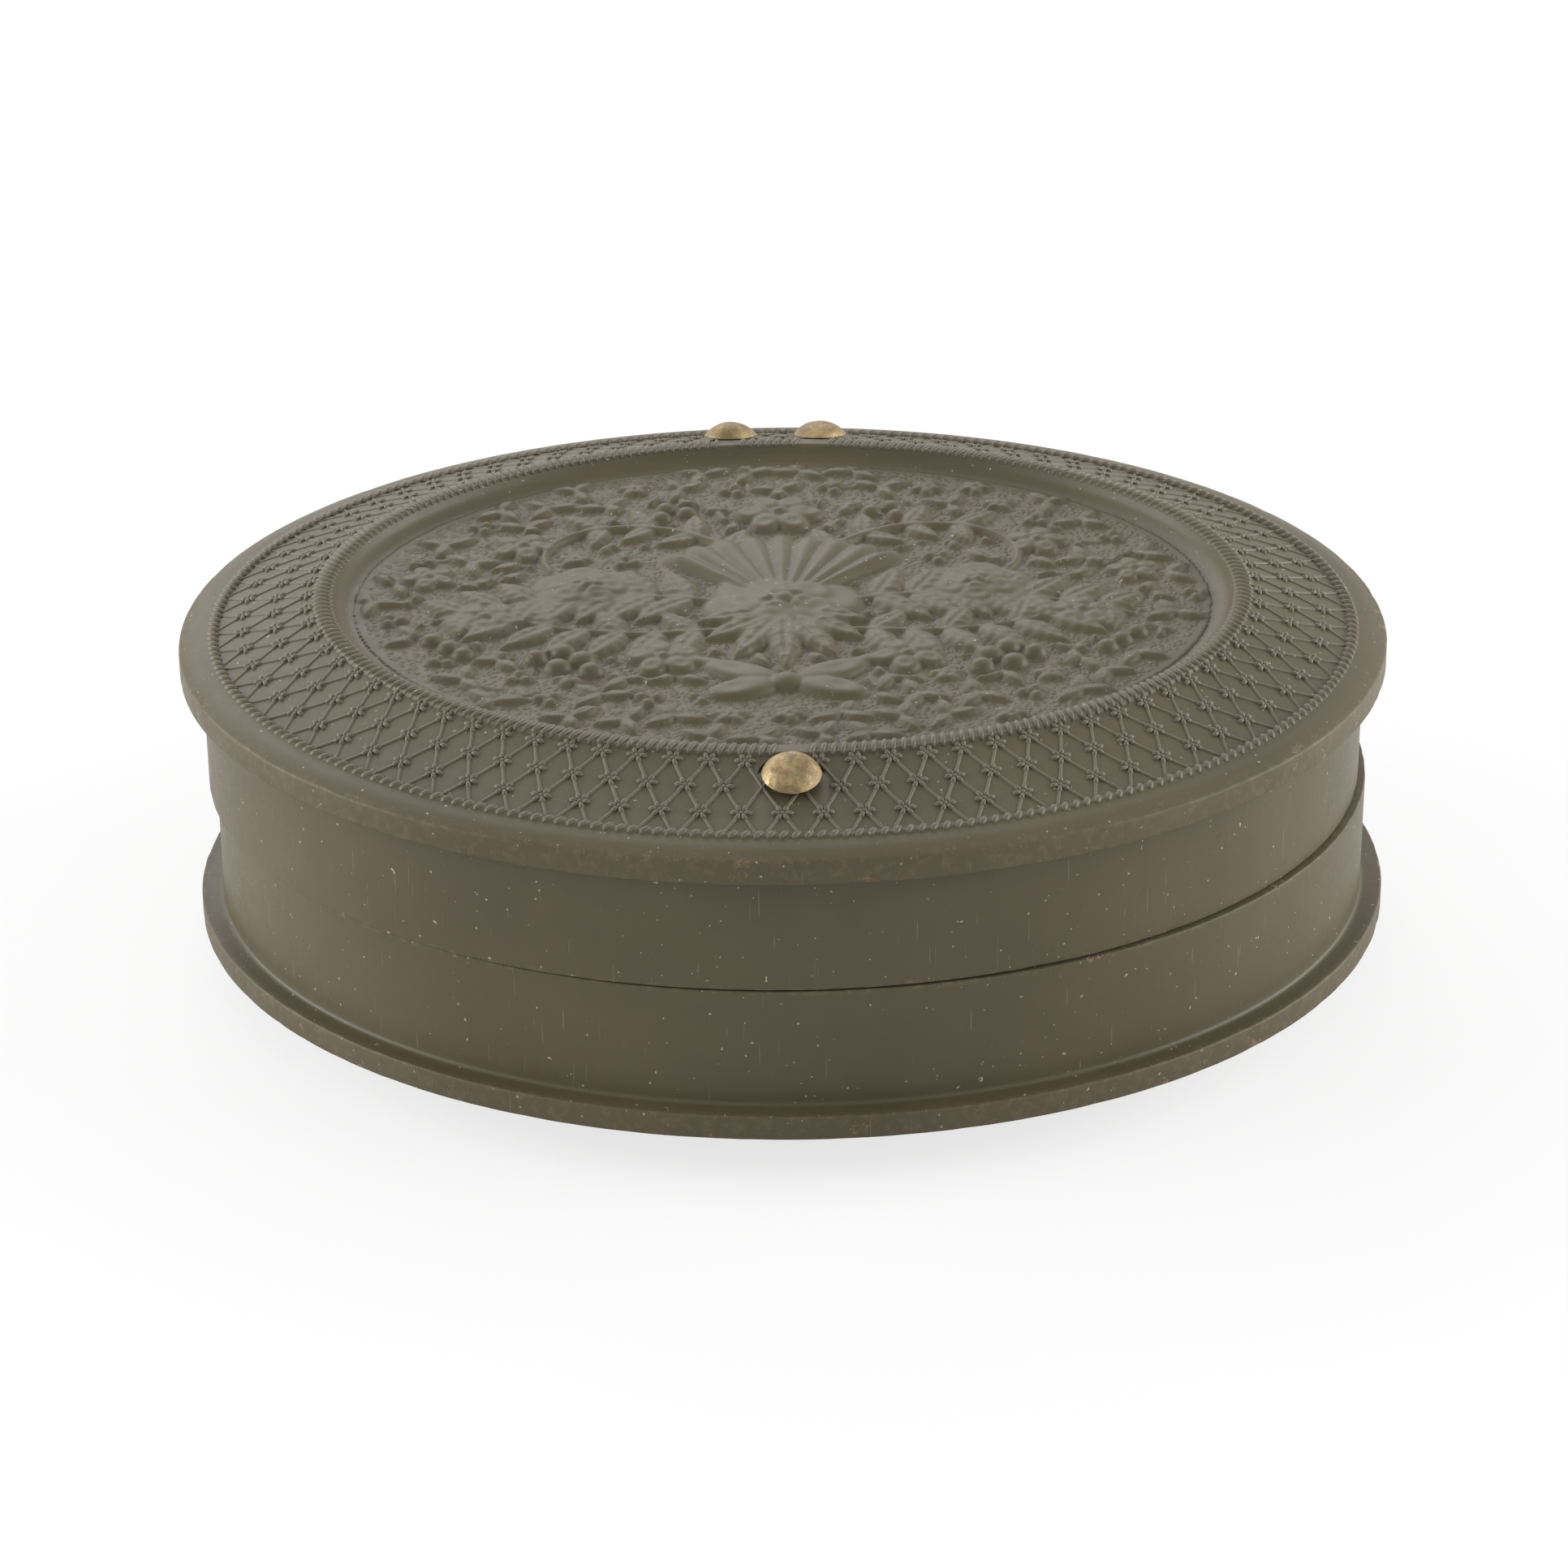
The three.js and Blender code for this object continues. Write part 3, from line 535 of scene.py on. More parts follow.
# Places of the two halves: the lid stands on the seam, and the base is turned over about Y below it
TURNED_OVER = Matrix.Rotation(pi, 4, "Y")
lid_place = Matrix.Translation((LID_SHIFT, 0, SEAM))
base_place = Matrix.Translation((BASE_SHIFT, 0, SEAM)) @ TURNED_OVER


def put(name, mesh, place, body, nodes=()):
    placed = mesh.copy()
    placed.name = name
    placed.transform(place)
    piece = new_object(name, placed)
    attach(piece, body)
    if nodes:
        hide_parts(*nodes)
    return piece


put("lid_body", half_mesh, lid_place, "lid", ["lid_shell"])
put("base_body", half_mesh, base_place, "base", ["base_shell"])

# Rope rings: two rings of slanted rounded teeth pressed in one with each half, a fine one inside the
# bevel and a broader one round the sunken panel. The teeth stand at one pitch all along the oval.
def geometry_tree(name, measures, counts):
    group = bpy.data.node_groups.new(name, "GeometryNodeTree")
    for kind, labels in (("Float", measures), ("Int", counts), ("Material", ["Finish"])):
        for label in labels:
            group.interface.new_socket(label, in_out="INPUT", socket_type=f"NodeSocket{kind}")
    group.interface.new_socket("Mesh", in_out="OUTPUT", socket_type="NodeSocketGeometry")
    tree = Tree(group.nodes, group.links)
    start = group.nodes.new("NodeGroupInput")
    given = {socket.name: Value(tree, socket) for socket in start.outputs if socket.name}
    return group, tree, given


def end_tree(tree, geometry, material):
    whole = tree.shape("RealizeInstances", {"Geometry": geometry})
    dressed = tree.shape("SetMaterial", {"Geometry": whole, "Material": material})
    end = tree.nodes.new("NodeGroupOutput")
    tree.links.new(dressed.socket, end.inputs[0])


def grown(name, group, settings):
    holder = new_object(name, bpy.data.meshes.new(name))
    grower = holder.modifiers.new(name, "NODES")
    grower.node_group = group
    for socket in group.interface.items_tree:
        if socket.in_out == "INPUT":
            grower[socket.identifier] = settings[socket.name]
    mesh = evaluated_mesh(holder)
    holder.modifiers.clear()
    bpy.data.objects.remove(holder)
    mesh.name = name
    return mesh


def oval_curve(tree, half_length, half_width, height):
    circle = tree.shape("CurvePrimitiveCircle", {"Resolution": 256, "Radius": 1.0})
    scale = tree.vector(half_length, half_width, 1.0)
    lift = tree.vector(z=height)
    return tree.shape("Transform", {"Geometry": circle, "Translation": lift, "Scale": scale})


def upright(tree, along):
    return tree.node("FunctionNodeAxesToRotation", {"primary_axis": "X", "secondary_axis": "Z"}, {
        "Primary Axis": along, "Secondary Axis": (0, 0, 1)})


def turned(tree, rotation, axis, angle):
    turn = tree.node("FunctionNodeAxisAngleToRotation", None, {"Axis": axis, "Angle": angle})
    return tree.node("FunctionNodeRotateRotation", {"rotation_space": "LOCAL"}, {
        "Rotation": rotation, "Rotate By": turn})


rope_group, tree, given = geometry_tree("rope_ring", [
    "Half Length", "Half Width", "Height", "Slant", "Tilt", "Tooth Length", "Tooth Width", "Tooth Rise"],
    ["Teeth"])
path = oval_curve(tree, given["Half Length"], given["Half Width"], given["Height"])
stations = tree.node("GeometryNodeResampleCurve", {"mode": "COUNT"}, {"Curve": path, "Count": given["Teeth"]})
along = tree.shape("InputTangent")
facing = upright(tree, along)
facing = turned(tree, facing, (1, 0, 0), given["Tilt"])
facing = turned(tree, facing, (0, 0, 1), given["Slant"])
bead = tree.shape("MeshUVSphere", {"Segments": 8, "Rings": 6, "Radius": 0.5})
tooth_size = tree.vector(given["Tooth Length"], given["Tooth Width"], given["Tooth Rise"])
tooth = tree.shape("Transform", {"Geometry": bead, "Scale": tooth_size})
rope = tree.shape("InstanceOnPoints", {"Points": stations, "Instance": tooth, "Rotation": facing})
end_tree(tree, rope, given["Finish"])

OUTER_TEETH = 285
INNER_TEETH = 277
outer_rope = grown("outer_rope", rope_group, {
    "Half Length": HALF_LENGTH - OUTER_ROPE_INSET, "Half Width": HALF_WIDTH - OUTER_ROPE_INSET,
    "Height": OUTER_ROPE_CREST - 0.28 * MM, "Teeth": OUTER_TEETH, "Tooth Length": 0.98 * MM,
    "Tooth Width": 0.52 * MM, "Tooth Rise": 0.56 * MM, "Slant": radians(52), "Tilt": radians(8),
    "Finish": union_finish})
INNER_ROPE_MIDDLE = (INNER_ROPE_START + INNER_ROPE_END) / 2
inner_rope = grown("inner_rope", rope_group, {
    "Half Length": HALF_LENGTH - INNER_ROPE_MIDDLE, "Half Width": HALF_WIDTH - INNER_ROPE_MIDDLE,
    "Height": CREST - 0.36 * MM, "Teeth": INNER_TEETH, "Tooth Length": 1.5 * MM, "Tooth Width": 0.48 * MM,
    "Tooth Rise": 0.7 * MM, "Slant": radians(74), "Tilt": radians(3), "Finish": union_finish})

# Lattice band: raised diagonal threads cross between the two ropes, and a small six-petalled star
# lies on each crossing, in three rows. They are pressed in one with the face.
STARS_IN_A_ROW = 81
FIRST_ROW = 2.1 * MM
ROW_STEP = 2.1 * MM
STAR_ROWS = 3
BAND_SLOPE = (BAND_HEAD - BAND_FOOT) / (INNER_ROPE_START - BAND_START)
BAND_MIDDLE = FIRST_ROW + 2 * ROW_STEP


def band_place(tree, given, column, row):
    ring = oval_curve(tree, given["Half Length"], given["Half Width"], 0.0)
    share = tree.math("FRACT", column / given["Columns"])
    sample = ("GeometryNodeSampleCurve", {"mode": "FACTOR"}, {"Curves": ring, "Factor": share})
    place = tree.node(*sample, "Position")
    ahead = tree.node(*sample, "Tangent")
    inward = tree.math("CROSS_PRODUCT", (0, 0, 1), ahead, kind="ShaderNodeVectorMath")
    shift = (row - 2) * given["Row Step"]
    step = tree.node("ShaderNodeVectorMath", {"operation": "SCALE"}, {0: inward, "Scale": shift})
    lift = tree.vector(z=given["Height"] + shift * given["Slope"])
    moved = tree.math("ADD", place, step, kind="ShaderNodeVectorMath")
    return tree.math("ADD", moved, lift, kind="ShaderNodeVectorMath"), ahead


band_measures = ["Half Length", "Half Width", "Height", "Row Step", "Slope"]
thread_group, tree, given = geometry_tree(
    "lattice_threads", [*band_measures, "Lean", "Last Row", "Thread Radius"], ["Columns", "Rows"])
line = tree.shape("MeshLine", {"Count": given["Rows"], "Offset": (0.001, 0, 0)})
index = tree.shape("InputIndex")
line = tree.node("GeometryNodeStoreNamedAttribute", {"data_type": "FLOAT"}, {
    "Geometry": line, "Name": "row", "Value": index})
starts = tree.shape("Points", {"Count": given["Columns"], "Radius": 0.001})
starts = tree.node("GeometryNodeStoreNamedAttribute", {"data_type": "FLOAT"}, {
    "Geometry": starts, "Name": "column", "Value": index})
threads = tree.shape("InstanceOnPoints", {"Points": starts, "Instance": line})
threads = tree.shape("RealizeInstances", {"Geometry": threads})
row = tree.node("GeometryNodeInputNamedAttribute", {"data_type": "FLOAT"}, {"Name": "row"})
column = tree.node("GeometryNodeInputNamedAttribute", {"data_type": "FLOAT"}, {"Name": "column"})
row = tree.math("MINIMUM", row, given["Last Row"])
spot, _ = band_place(tree, given, column + row * given["Lean"] + 2.0, row)
threads = tree.shape("SetPosition", {"Geometry": threads, "Position": spot})
threads = tree.shape("MeshToCurve", {"Mesh": threads})
profile = tree.shape("CurvePrimitiveCircle", {"Resolution": 6, "Radius": given["Thread Radius"]})
threads = tree.shape("CurveToMesh", {"Curve": threads, "Profile Curve": profile, "Fill Caps": True})
threads = tree.shape("SetShadeSmooth", {"Geometry": threads})
end_tree(tree, threads, given["Finish"])

star_group, tree, given = geometry_tree(
    "lattice_stars", [*band_measures, "Petal Length"], ["Columns", "Rows", "Petals"])
size = given["Petal Length"]
petal = tree.shape("MeshUVSphere", {"Segments": 6, "Rings": 4, "Radius": 0.5})
petal_size = tree.vector(size, size * 0.6, size * 0.7)
petal_shift = tree.vector(size * 0.58)
petal = tree.shape("Transform", {"Geometry": petal, "Translation": petal_shift, "Scale": petal_size})
petal_points = tree.shape("Points", {"Count": given["Petals"], "Radius": 0.001})
petal_turn = tree.vector(z=tree.shape("InputIndex") / given["Petals"] * (2 * pi))
star = tree.shape("InstanceOnPoints", {"Points": petal_points, "Instance": petal, "Rotation": petal_turn})
heart = tree.shape("MeshUVSphere", {"Segments": 8, "Rings": 4, "Radius": size * 0.3})
joined = tree.nodes.new("GeometryNodeJoinGeometry")
tree.links.new(star.socket, joined.inputs[0])
tree.links.new(heart.socket, joined.inputs[0])
number = tree.shape("InputIndex")
star_row = tree.math("FLOOR", number / given["Columns"])
star_column = number - star_row * given["Columns"]
star_points = tree.shape("Points", {"Count": given["Columns"] * given["Rows"], "Radius": 0.001})
spot, ahead = band_place(tree, given, star_column + (star_row + 1) * 0.5 + 2.0, star_row + 1)
star_points = tree.shape("SetPosition", {"Geometry": star_points, "Position": spot})
facing = upright(tree, ahead)
facing = turned(tree, facing, (1, 0, 0), given["Slope"])
stars = tree.shape("InstanceOnPoints", {
    "Points": star_points, "Instance": Value(tree, joined.outputs[0]), "Rotation": facing})
stars = tree.shape("SetShadeSmooth", {"Geometry": stars})
end_tree(tree, stars, given["Finish"])

band_sizes = {
    "Half Length": HALF_LENGTH - BAND_MIDDLE, "Half Width": HALF_WIDTH - BAND_MIDDLE,
    "Height": BAND_FOOT + (BAND_MIDDLE - BAND_START) * BAND_SLOPE - 0.03 * MM, "Columns": STARS_IN_A_ROW,
    "Row Step": ROW_STEP, "Slope": BAND_SLOPE, "Finish": union_finish}
thread_sizes = {"Rows": STAR_ROWS + 2, "Last Row": STAR_ROWS + 0.3, "Thread Radius": 0.125 * MM}
thread_meshes = [grown("threads", thread_group, {**band_sizes, **thread_sizes, "Lean": lean})
                 for lean in (0.5, -0.5)]
star_mesh = grown("stars", star_group, {
    **band_sizes, "Rows": STAR_ROWS, "Petals": 6, "Petal Length": 0.68 * MM})


def border_mesh(meshes):
    whole = bpy.data.meshes.new("carved_border")
    with editing(whole, *meshes):
        pass
    # Marks every vertex of the raised border for the painted highlight in the finish
    mark(whole, "crest", [1.0] * len(whole.vertices))
    cover(whole, union_finish)
    whole.shade_smooth()
    return whole


def clear_of_rivets(mesh):
    seat = RIVET_ROOM - 0.1 * MM
    with editing(mesh, mesh) as builder:
        waiting = [vertex for vertex in builder.verts
                   if any(hypot(vertex.co.x - x, vertex.co.y - y) < seat for x, y in rivet_places)]
        reached = set(waiting)
        while waiting:
            vertex = waiting.pop()
            linked = {link.other_vert(vertex) for link in vertex.link_edges} - reached
            reached |= linked
            waiting += linked
        bmesh.ops.delete(builder, geom=list(reached), context="VERTS")
    return mesh


# Teeth and petals that reach a rivet's seat are left out whole, and the threads run on under its head
cleared = [clear_of_rivets(mesh) for mesh in (outer_rope, inner_rope, star_mesh)]
carved_border = border_mesh(cleared + thread_meshes)
put("lid_border", carved_border, lid_place, "lid")
put("base_border", carved_border, base_place, "base")

# Panel relief: low relief inside the inner rope of each face, pressed in one with the half. The lid's is
# a generic spray of roses, leaves, fruit and scrolls round a fluted fan, with small foliage between.
# The base's is a plain ring of flutes round a rosette. Each is a skin over a height field, its rim sunk.
RELIEF_STEP = 0.155 * MM
SHELL_STEP = 0.25 * MM
RELIEF_RISE = 0.95 * MM
PANEL_A = HALF_LENGTH - PANEL_INSET
PANEL_B = HALF_WIDTH - PANEL_INSET


class HeightField:
    def __init__(self, step):
        self.step = step
        across = int(PANEL_A * 2 / step) + 3
        deep = int(PANEL_B * 2 / step) + 3
        x = (np.arange(across) - (across - 1) / 2) * step / MM
        y = (np.arange(deep) - (deep - 1) / 2) * step / MM
        self.gx, self.gy = np.meshgrid(x, y)
        self.height = np.zeros_like(self.gx)

    def raise_to(self, height):
        self.height = np.maximum(self.height, height)

    def along_and_across(self, x, y, angle):
        c, s = cos(angle), sin(angle)
        return (self.gx - x) * c + (self.gy - y) * s, -(self.gx - x) * s + (self.gy - y) * c

    def leaf(self, x, y, angle, length, width, rise, curl=0.0):
        u, v = self.along_and_across(x, y, angle)
        v = v - curl * (u / length) ** 2 * length
        share = np.clip(u / length, 0, 1)
        edge = width / 2 * np.sin(pi * share ** 0.75) * (1 + 0.13 * np.abs(np.sin(share * 16)))
        inside = (u > 0) & (u < length) & (np.abs(v) < edge)
        across = np.clip(np.abs(v) / np.maximum(edge, 1e-3), 0, 1)
        body = rise * (1 - across ** 2) ** 0.6 * (0.75 + 0.25 * np.sin(pi * share))
        midrib = 0.2 * rise * np.exp(-(v / (0.05 * width + 0.08)) ** 2)
        veins = 0.14 * rise * np.clip(np.cos((u - np.abs(v) * 0.8) * 2 * pi / (length / 5)), 0, 1) ** 3
        self.raise_to(np.where(inside, body - midrib * 1.1 + veins * (across > 0.1), 0))

    def petal(self, x, y, angle, length, width, rise):
        u, v = self.along_and_across(x, y, angle)
        round_off = (2 * u / length - 1) ** 2 + (2 * v / width) ** 2
        body = rise * np.clip(1 - round_off, 0, None) ** 0.4
        dip = ((u - length * 0.62) / (length * 0.2)) ** 2 + (v / (width * 0.24)) ** 2
        cup = 0.3 * rise * np.exp(-dip)
        self.raise_to(np.where(round_off < 1, body - cup, 0))

    def rose(self, x, y, radius, turn):
        for ring, (count, share, rise) in enumerate(((6, 1.0, 0.55), (5, 0.72, 0.78), (4, 0.45, 0.95))):
            for step in range(count):
                angle = turn + ring * 0.5 + 2 * pi * step / count
                start = radius * share * 0.12
                self.petal(x + start * cos(angle), y + start * sin(angle), angle,
                           radius * share * 0.95, radius * share * 1.05, rise)
        self.berry(x, y, radius * 0.2, 1.0)

    def blossom(self, x, y, radius, petals, turn, rise):
        for step in range(petals):
            angle = turn + 2 * pi * step / petals
            self.petal(x + radius * 0.1 * cos(angle), y + radius * 0.1 * sin(angle), angle,
                       radius * 0.92, radius * 0.75, rise)
        self.berry(x, y, radius * 0.24, rise * 1.15)

    def berry(self, x, y, radius, rise):
        distance = np.hypot(self.gx - x, self.gy - y) / radius
        self.raise_to(np.where(distance < 1, rise * np.sqrt(np.clip(1 - distance ** 2, 0, 1)), 0))

    def stem(self, points, width, rise, taper=0.5):
        points = np.array(points)
        best = np.zeros_like(self.height)
        count = len(points) - 1
        for i in range(count):
            first, last = points[i], points[i + 1]
            way = last - first
            share = ((self.gx - first[0]) * way[0] + (self.gy - first[1]) * way[1]) / (way @ way)
            share = np.clip(share, 0, 1)
            distance = np.hypot(self.gx - first[0] - share * way[0], self.gy - first[1] - share * way[1])
            half = width / 2 * (1 - taper * (i + share) / count)
            fall = 1 - taper / 2 * (i + share) / count
            ridge = rise * np.sqrt(np.clip(1 - (distance / half) ** 2, 0, 1)) * fall
            best = np.maximum(best, np.where(distance < half, ridge, 0))
        self.raise_to(best)

    def shell(self, x, y, angle, radius, flutes, spread, rise):
        reach = np.hypot(self.gx - x, self.gy - y)
        turn = np.arctan2(self.gy - y, self.gx - x) - angle
        turn = (turn + pi) % (2 * pi) - pi
        ridge = np.abs(np.cos(turn / spread * flutes * pi / 2))
        edge = radius * (0.93 + 0.07 * ridge)
        inside = (np.abs(turn) < spread) & (reach < edge)
        fall = np.clip((edge - reach) / (radius * 0.15), 0, 1) ** 0.5
        side = np.clip((spread - np.abs(turn)) / 0.12, 0, 1) ** 0.5
        self.raise_to(np.where(inside, rise * (0.35 + 0.3 * reach / radius + 0.35 * ridge) * fall * side, 0))

    def soften(self, times):
        for _ in range(times):
            self.height = sum(neighbours(self.height, "edge"), self.height * 4) / 8


def neighbours(grid, mode):
    padded = np.pad(grid, 1, mode=mode)
    return [padded[:-2, 1:-1], padded[2:, 1:-1], padded[1:-1, :-2], padded[1:-1, 2:]]


def widened(mask, times):
    for _ in range(times):
        mask = np.maximum.reduce([mask, *neighbours(mask, "constant")])
    return mask


def foliage(field, step, seed):
    chance = np.random.default_rng(seed)
    a = PANEL_A / MM - 1.3
    b = PANEL_B / MM - 1.3
    filler = HeightField(field.step)
    for row in range(-12, 13):
        for column in range(-14, 15):
            x = (column + 0.5 * (row % 2)) * step + chance.uniform(-0.35, 0.35)
            y = row * step * 0.87 + chance.uniform(-0.35, 0.35)
            angle = chance.uniform(0, 2 * pi)
            kind = chance.integers(0, 5)
            if (x / a) ** 2 + (y / b) ** 2 > 1:
                continue
            if kind == 0:
                filler.blossom(x, y, 1.15, 5, angle, 0.42)
            elif kind == 1:
                for turn in range(3):
                    reach = angle + turn * 2.1
                    filler.berry(x + 0.55 * cos(reach), y + 0.55 * sin(reach), 0.5, 0.4)
            else:
                for turn in (-0.75, 0.75, pi):
                    filler.leaf(x, y, angle + turn, 2.3, 1.15, 0.42)
                filler.stem(curve_points((x, y), angle + pi, [0.8] * 4, [0.2] * 4), 0.35, 0.25)
    clear = widened((field.height > 0.02).astype(float), 4)
    field.height = np.maximum(field.height, filler.height * (1 - clear))


def curve_points(start, angle, lengths, bends):
    points = [np.array(start, dtype=float)]
    for length, bend in zip(lengths, bends):
        angle += bend
        points.append(points[-1] + length * np.array((cos(angle), sin(angle))))
    return points


def spray(field):
    a = PANEL_A / MM
    b = PANEL_B / MM
    for side in (1, -1):
        outwards = pi / 2 * (1 - side)
        trunk = curve_points((side * 3.5, -1.0), outwards + side * 0.35, [1.25] * 16, [-0.055 * side] * 16)
        field.stem(trunk, 0.8, 0.4)
        for i in range(2, 16, 2):
            x, y = trunk[i]
            if (x / (a - 3)) ** 2 + (y / (b - 3)) ** 2 > 1:
                continue
            for up in (1, -1):
                lean = outwards + side * (0.35 - 0.055 * i) + up * 0.85 * side
                field.leaf(x, y, lean, 5.4 - i * 0.12, 2.5, 0.5, 0.14 * up * side)
        low = curve_points((side * 2.0, -4.5), outwards - side * 0.35, [1.2] * 15, [0.06 * side] * 15)
        field.stem(low, 0.7, 0.38)
        for i in range(3, 15, 2):
            x, y = low[i]
            lean = outwards - side * (0.35 - 0.06 * i)
            field.leaf(x, y, lean - side * 0.95, 4.6, 2.2, 0.48, -0.12 * side)
            if i % 4 == 3:
                field.leaf(x, y, lean + side * 0.9, 4.0, 2.0, 0.5, 0.12 * side)
        scroll = curve_points((side * 2.0, 5.5), pi / 2 - side * 0.5, [1.1] * 22,
                              [-(0.05 + 0.012 * i) * side for i in range(22)])
        field.stem(scroll, 0.95, 0.5, 0.55)
        for i in range(2, 14, 3):
            x, y = scroll[i]
            way = scroll[i + 1] - scroll[i]
            heading = atan2(way[1], way[0])
            field.leaf(x, y, heading + side * 0.8, 3.9, 1.9, 0.5, 0.15 * side)
            field.leaf(x, y, heading - side * 0.8, 3.2, 1.7, 0.45, -0.15 * side)
        field.rose(side * 12.8, 1.2, 3.6, 0.4 * side)
        for x, y, radius, turn, rise in ((19.4, -3.0, 2.5, 0.3, 0.6), (7.8, -9.3, 2.5, 0.8, 0.6),
                                         (17.2, 8.4, 2.2, 0.1, 0.55), (23.3, 3.6, 1.9, 0.5, 0.5)):
            field.blossom(side * x, y, radius, 5, turn * side, rise)
        bunch = ((13.0, -9.3), (14.5, -10.4), (12.4, -11.0), (14.2, -8.2), (15.9, -9.0))
        for i, (x, y) in enumerate(bunch):
            field.berry(side * x, y, 0.95 - 0.04 * i, 0.7)
        for x, y in ((6.3, 13.9), (7.7, 14.6), (8.0, 13.1), (21.6, -7.2), (22.7, -6.1), (20.6, -8.2)):
            field.berry(side * x, y, 0.75, 0.6)
        tail = curve_points((side * 0.8, -13.0), outwards + side * 0.2, [1.0] * 10,
                            [sin(i * 0.9) * 0.35 * side for i in range(10)])
        field.stem(tail, 1.7, 0.42, 0.35)
        for lean, length in ((0.55, 5.6), (-0.35, 5.0)):
            field.petal(side * 0.4, -13.0, outwards + side * lean, length, 2.6, 0.62)
    field.berry(0, -13.0, 1.1, 0.75)
    field.shell(0, -1.5, pi / 2, 11.5, 9, 0.85, 0.75)
    for turn in range(-3, 4):
        field.leaf(0, -2.5, -pi / 2 + turn * 0.42, 8.5 - abs(turn) * 0.9, 2.7, 0.6, 0.03 * turn)
    field.rose(0, -1.2, 5.0, 0.2)
    field.blossom(0, 13.4, 3.0, 6, 0.0, 0.7)
    foliage(field, 3.4, 4)
    field.soften(1)


def fluted_shell(field):
    across, deep = field.gx / (PANEL_A / MM), field.gy / (PANEL_B / MM)
    reach = np.hypot(across, deep)
    turn = np.arctan2(deep, across)
    flute = np.abs(np.cos(turn * 16)) * np.clip(reach * 6 - 0.9, 0, 1) * np.clip((0.86 - reach) * 14, 0, 1)
    field.raise_to(flute * (0.25 + 0.3 * reach))
    field.raise_to(np.where((reach > 0.88) & (reach < 0.94), 0.35, 0))
    field.blossom(0, 0, 4.2, 8, 0.0, 0.7)
    field.soften(2)


def relief_mesh(name, draw, step):
    field = HeightField(step)
    draw(field)
    reach = np.hypot(field.gx / (PANEL_A / MM), field.gy / (PANEL_B / MM))
    margin = (1 - reach) * PANEL_B / MM
    height = field.height * np.clip(margin / 0.9 - 0.3, 0, 1) ** 0.7
    rolling = 0.05 * np.sin(field.gx * 0.9 + 1.3) * np.cos(field.gy * 1.1)
    bare = np.clip(1 - height / 0.06, 0, 1) * (margin > 0.9)
    height = PANEL + (height * RELIEF_RISE / MM + 0.04 + rolling * 0.5) * MM
    height = np.where(margin < 0.35, PANEL - 0.12 * MM, height)
    keep = margin > 0
    number = np.full(keep.shape, -1)
    number[keep] = np.arange(keep.sum())
    vertices = np.stack([field.gx[keep] * MM, field.gy[keep] * MM, height[keep]], -1)
    corners = np.stack([number[:-1, :-1], number[:-1, 1:], number[1:, 1:], number[1:, :-1]], -1)
    corners = corners.reshape(-1, 4)
    faces = corners[(corners >= 0).all(1)]
    mesh = bpy.data.meshes.new(name)
    mesh.from_pydata(vertices.tolist(), [], faces.tolist())
    mark(mesh, "stipple", bare[keep].astype(np.float32))
    cover(mesh, union_finish)
    mesh.shade_smooth()
    return mesh


put("lid_relief", relief_mesh("lid_relief", spray, RELIEF_STEP), lid_place, "lid")
put("base_relief", relief_mesh("base_relief", fluted_shell, SHELL_STEP), base_place, "base")

# Rivets: brass with a low domed head outside, a shank through the face and a peened tail inside. Each
# half has two at the hinge and one at the catch. The heads are dented and brown with age.
RIVET_HEAD_RADIUS = 1.83 * MM
RIVET_SHANK_RADIUS = 0.6 * MM
RIVET_TAIL_RADIUS = 1.1 * MM
RIVET_LEAN = radians(14)
HEAD_SHARE = 0.82
RIVET_STEPS = 40


def rivet_finish():
    tree = Finish("aged_rivet_brass")
    cloud = tree.patches(0.42, 0.6, 700.0, 6.0, 0.7)
    fine = tree.noise(3000.0, 4.0, 0.6)
    green = tree.patches(0.6, 0.7, 1100.0, 3.0, 0.6)
    colour = tree.mix(cloud, (0.17, 0.115, 0.05, 1), (0.36, 0.265, 0.13, 1))
    colour = tree.mix(green * 0.6, colour, (0.16, 0.16, 0.10, 1))
    return tree.surface({
        "Base Color": colour, "Metallic": cloud * 0.3 + 0.35, "Roughness": fine * 0.25 + 0.35},
        fine * 0.6 + cloud * 0.5, 0.05 * MM)


rivet_brass = rivet_finish()


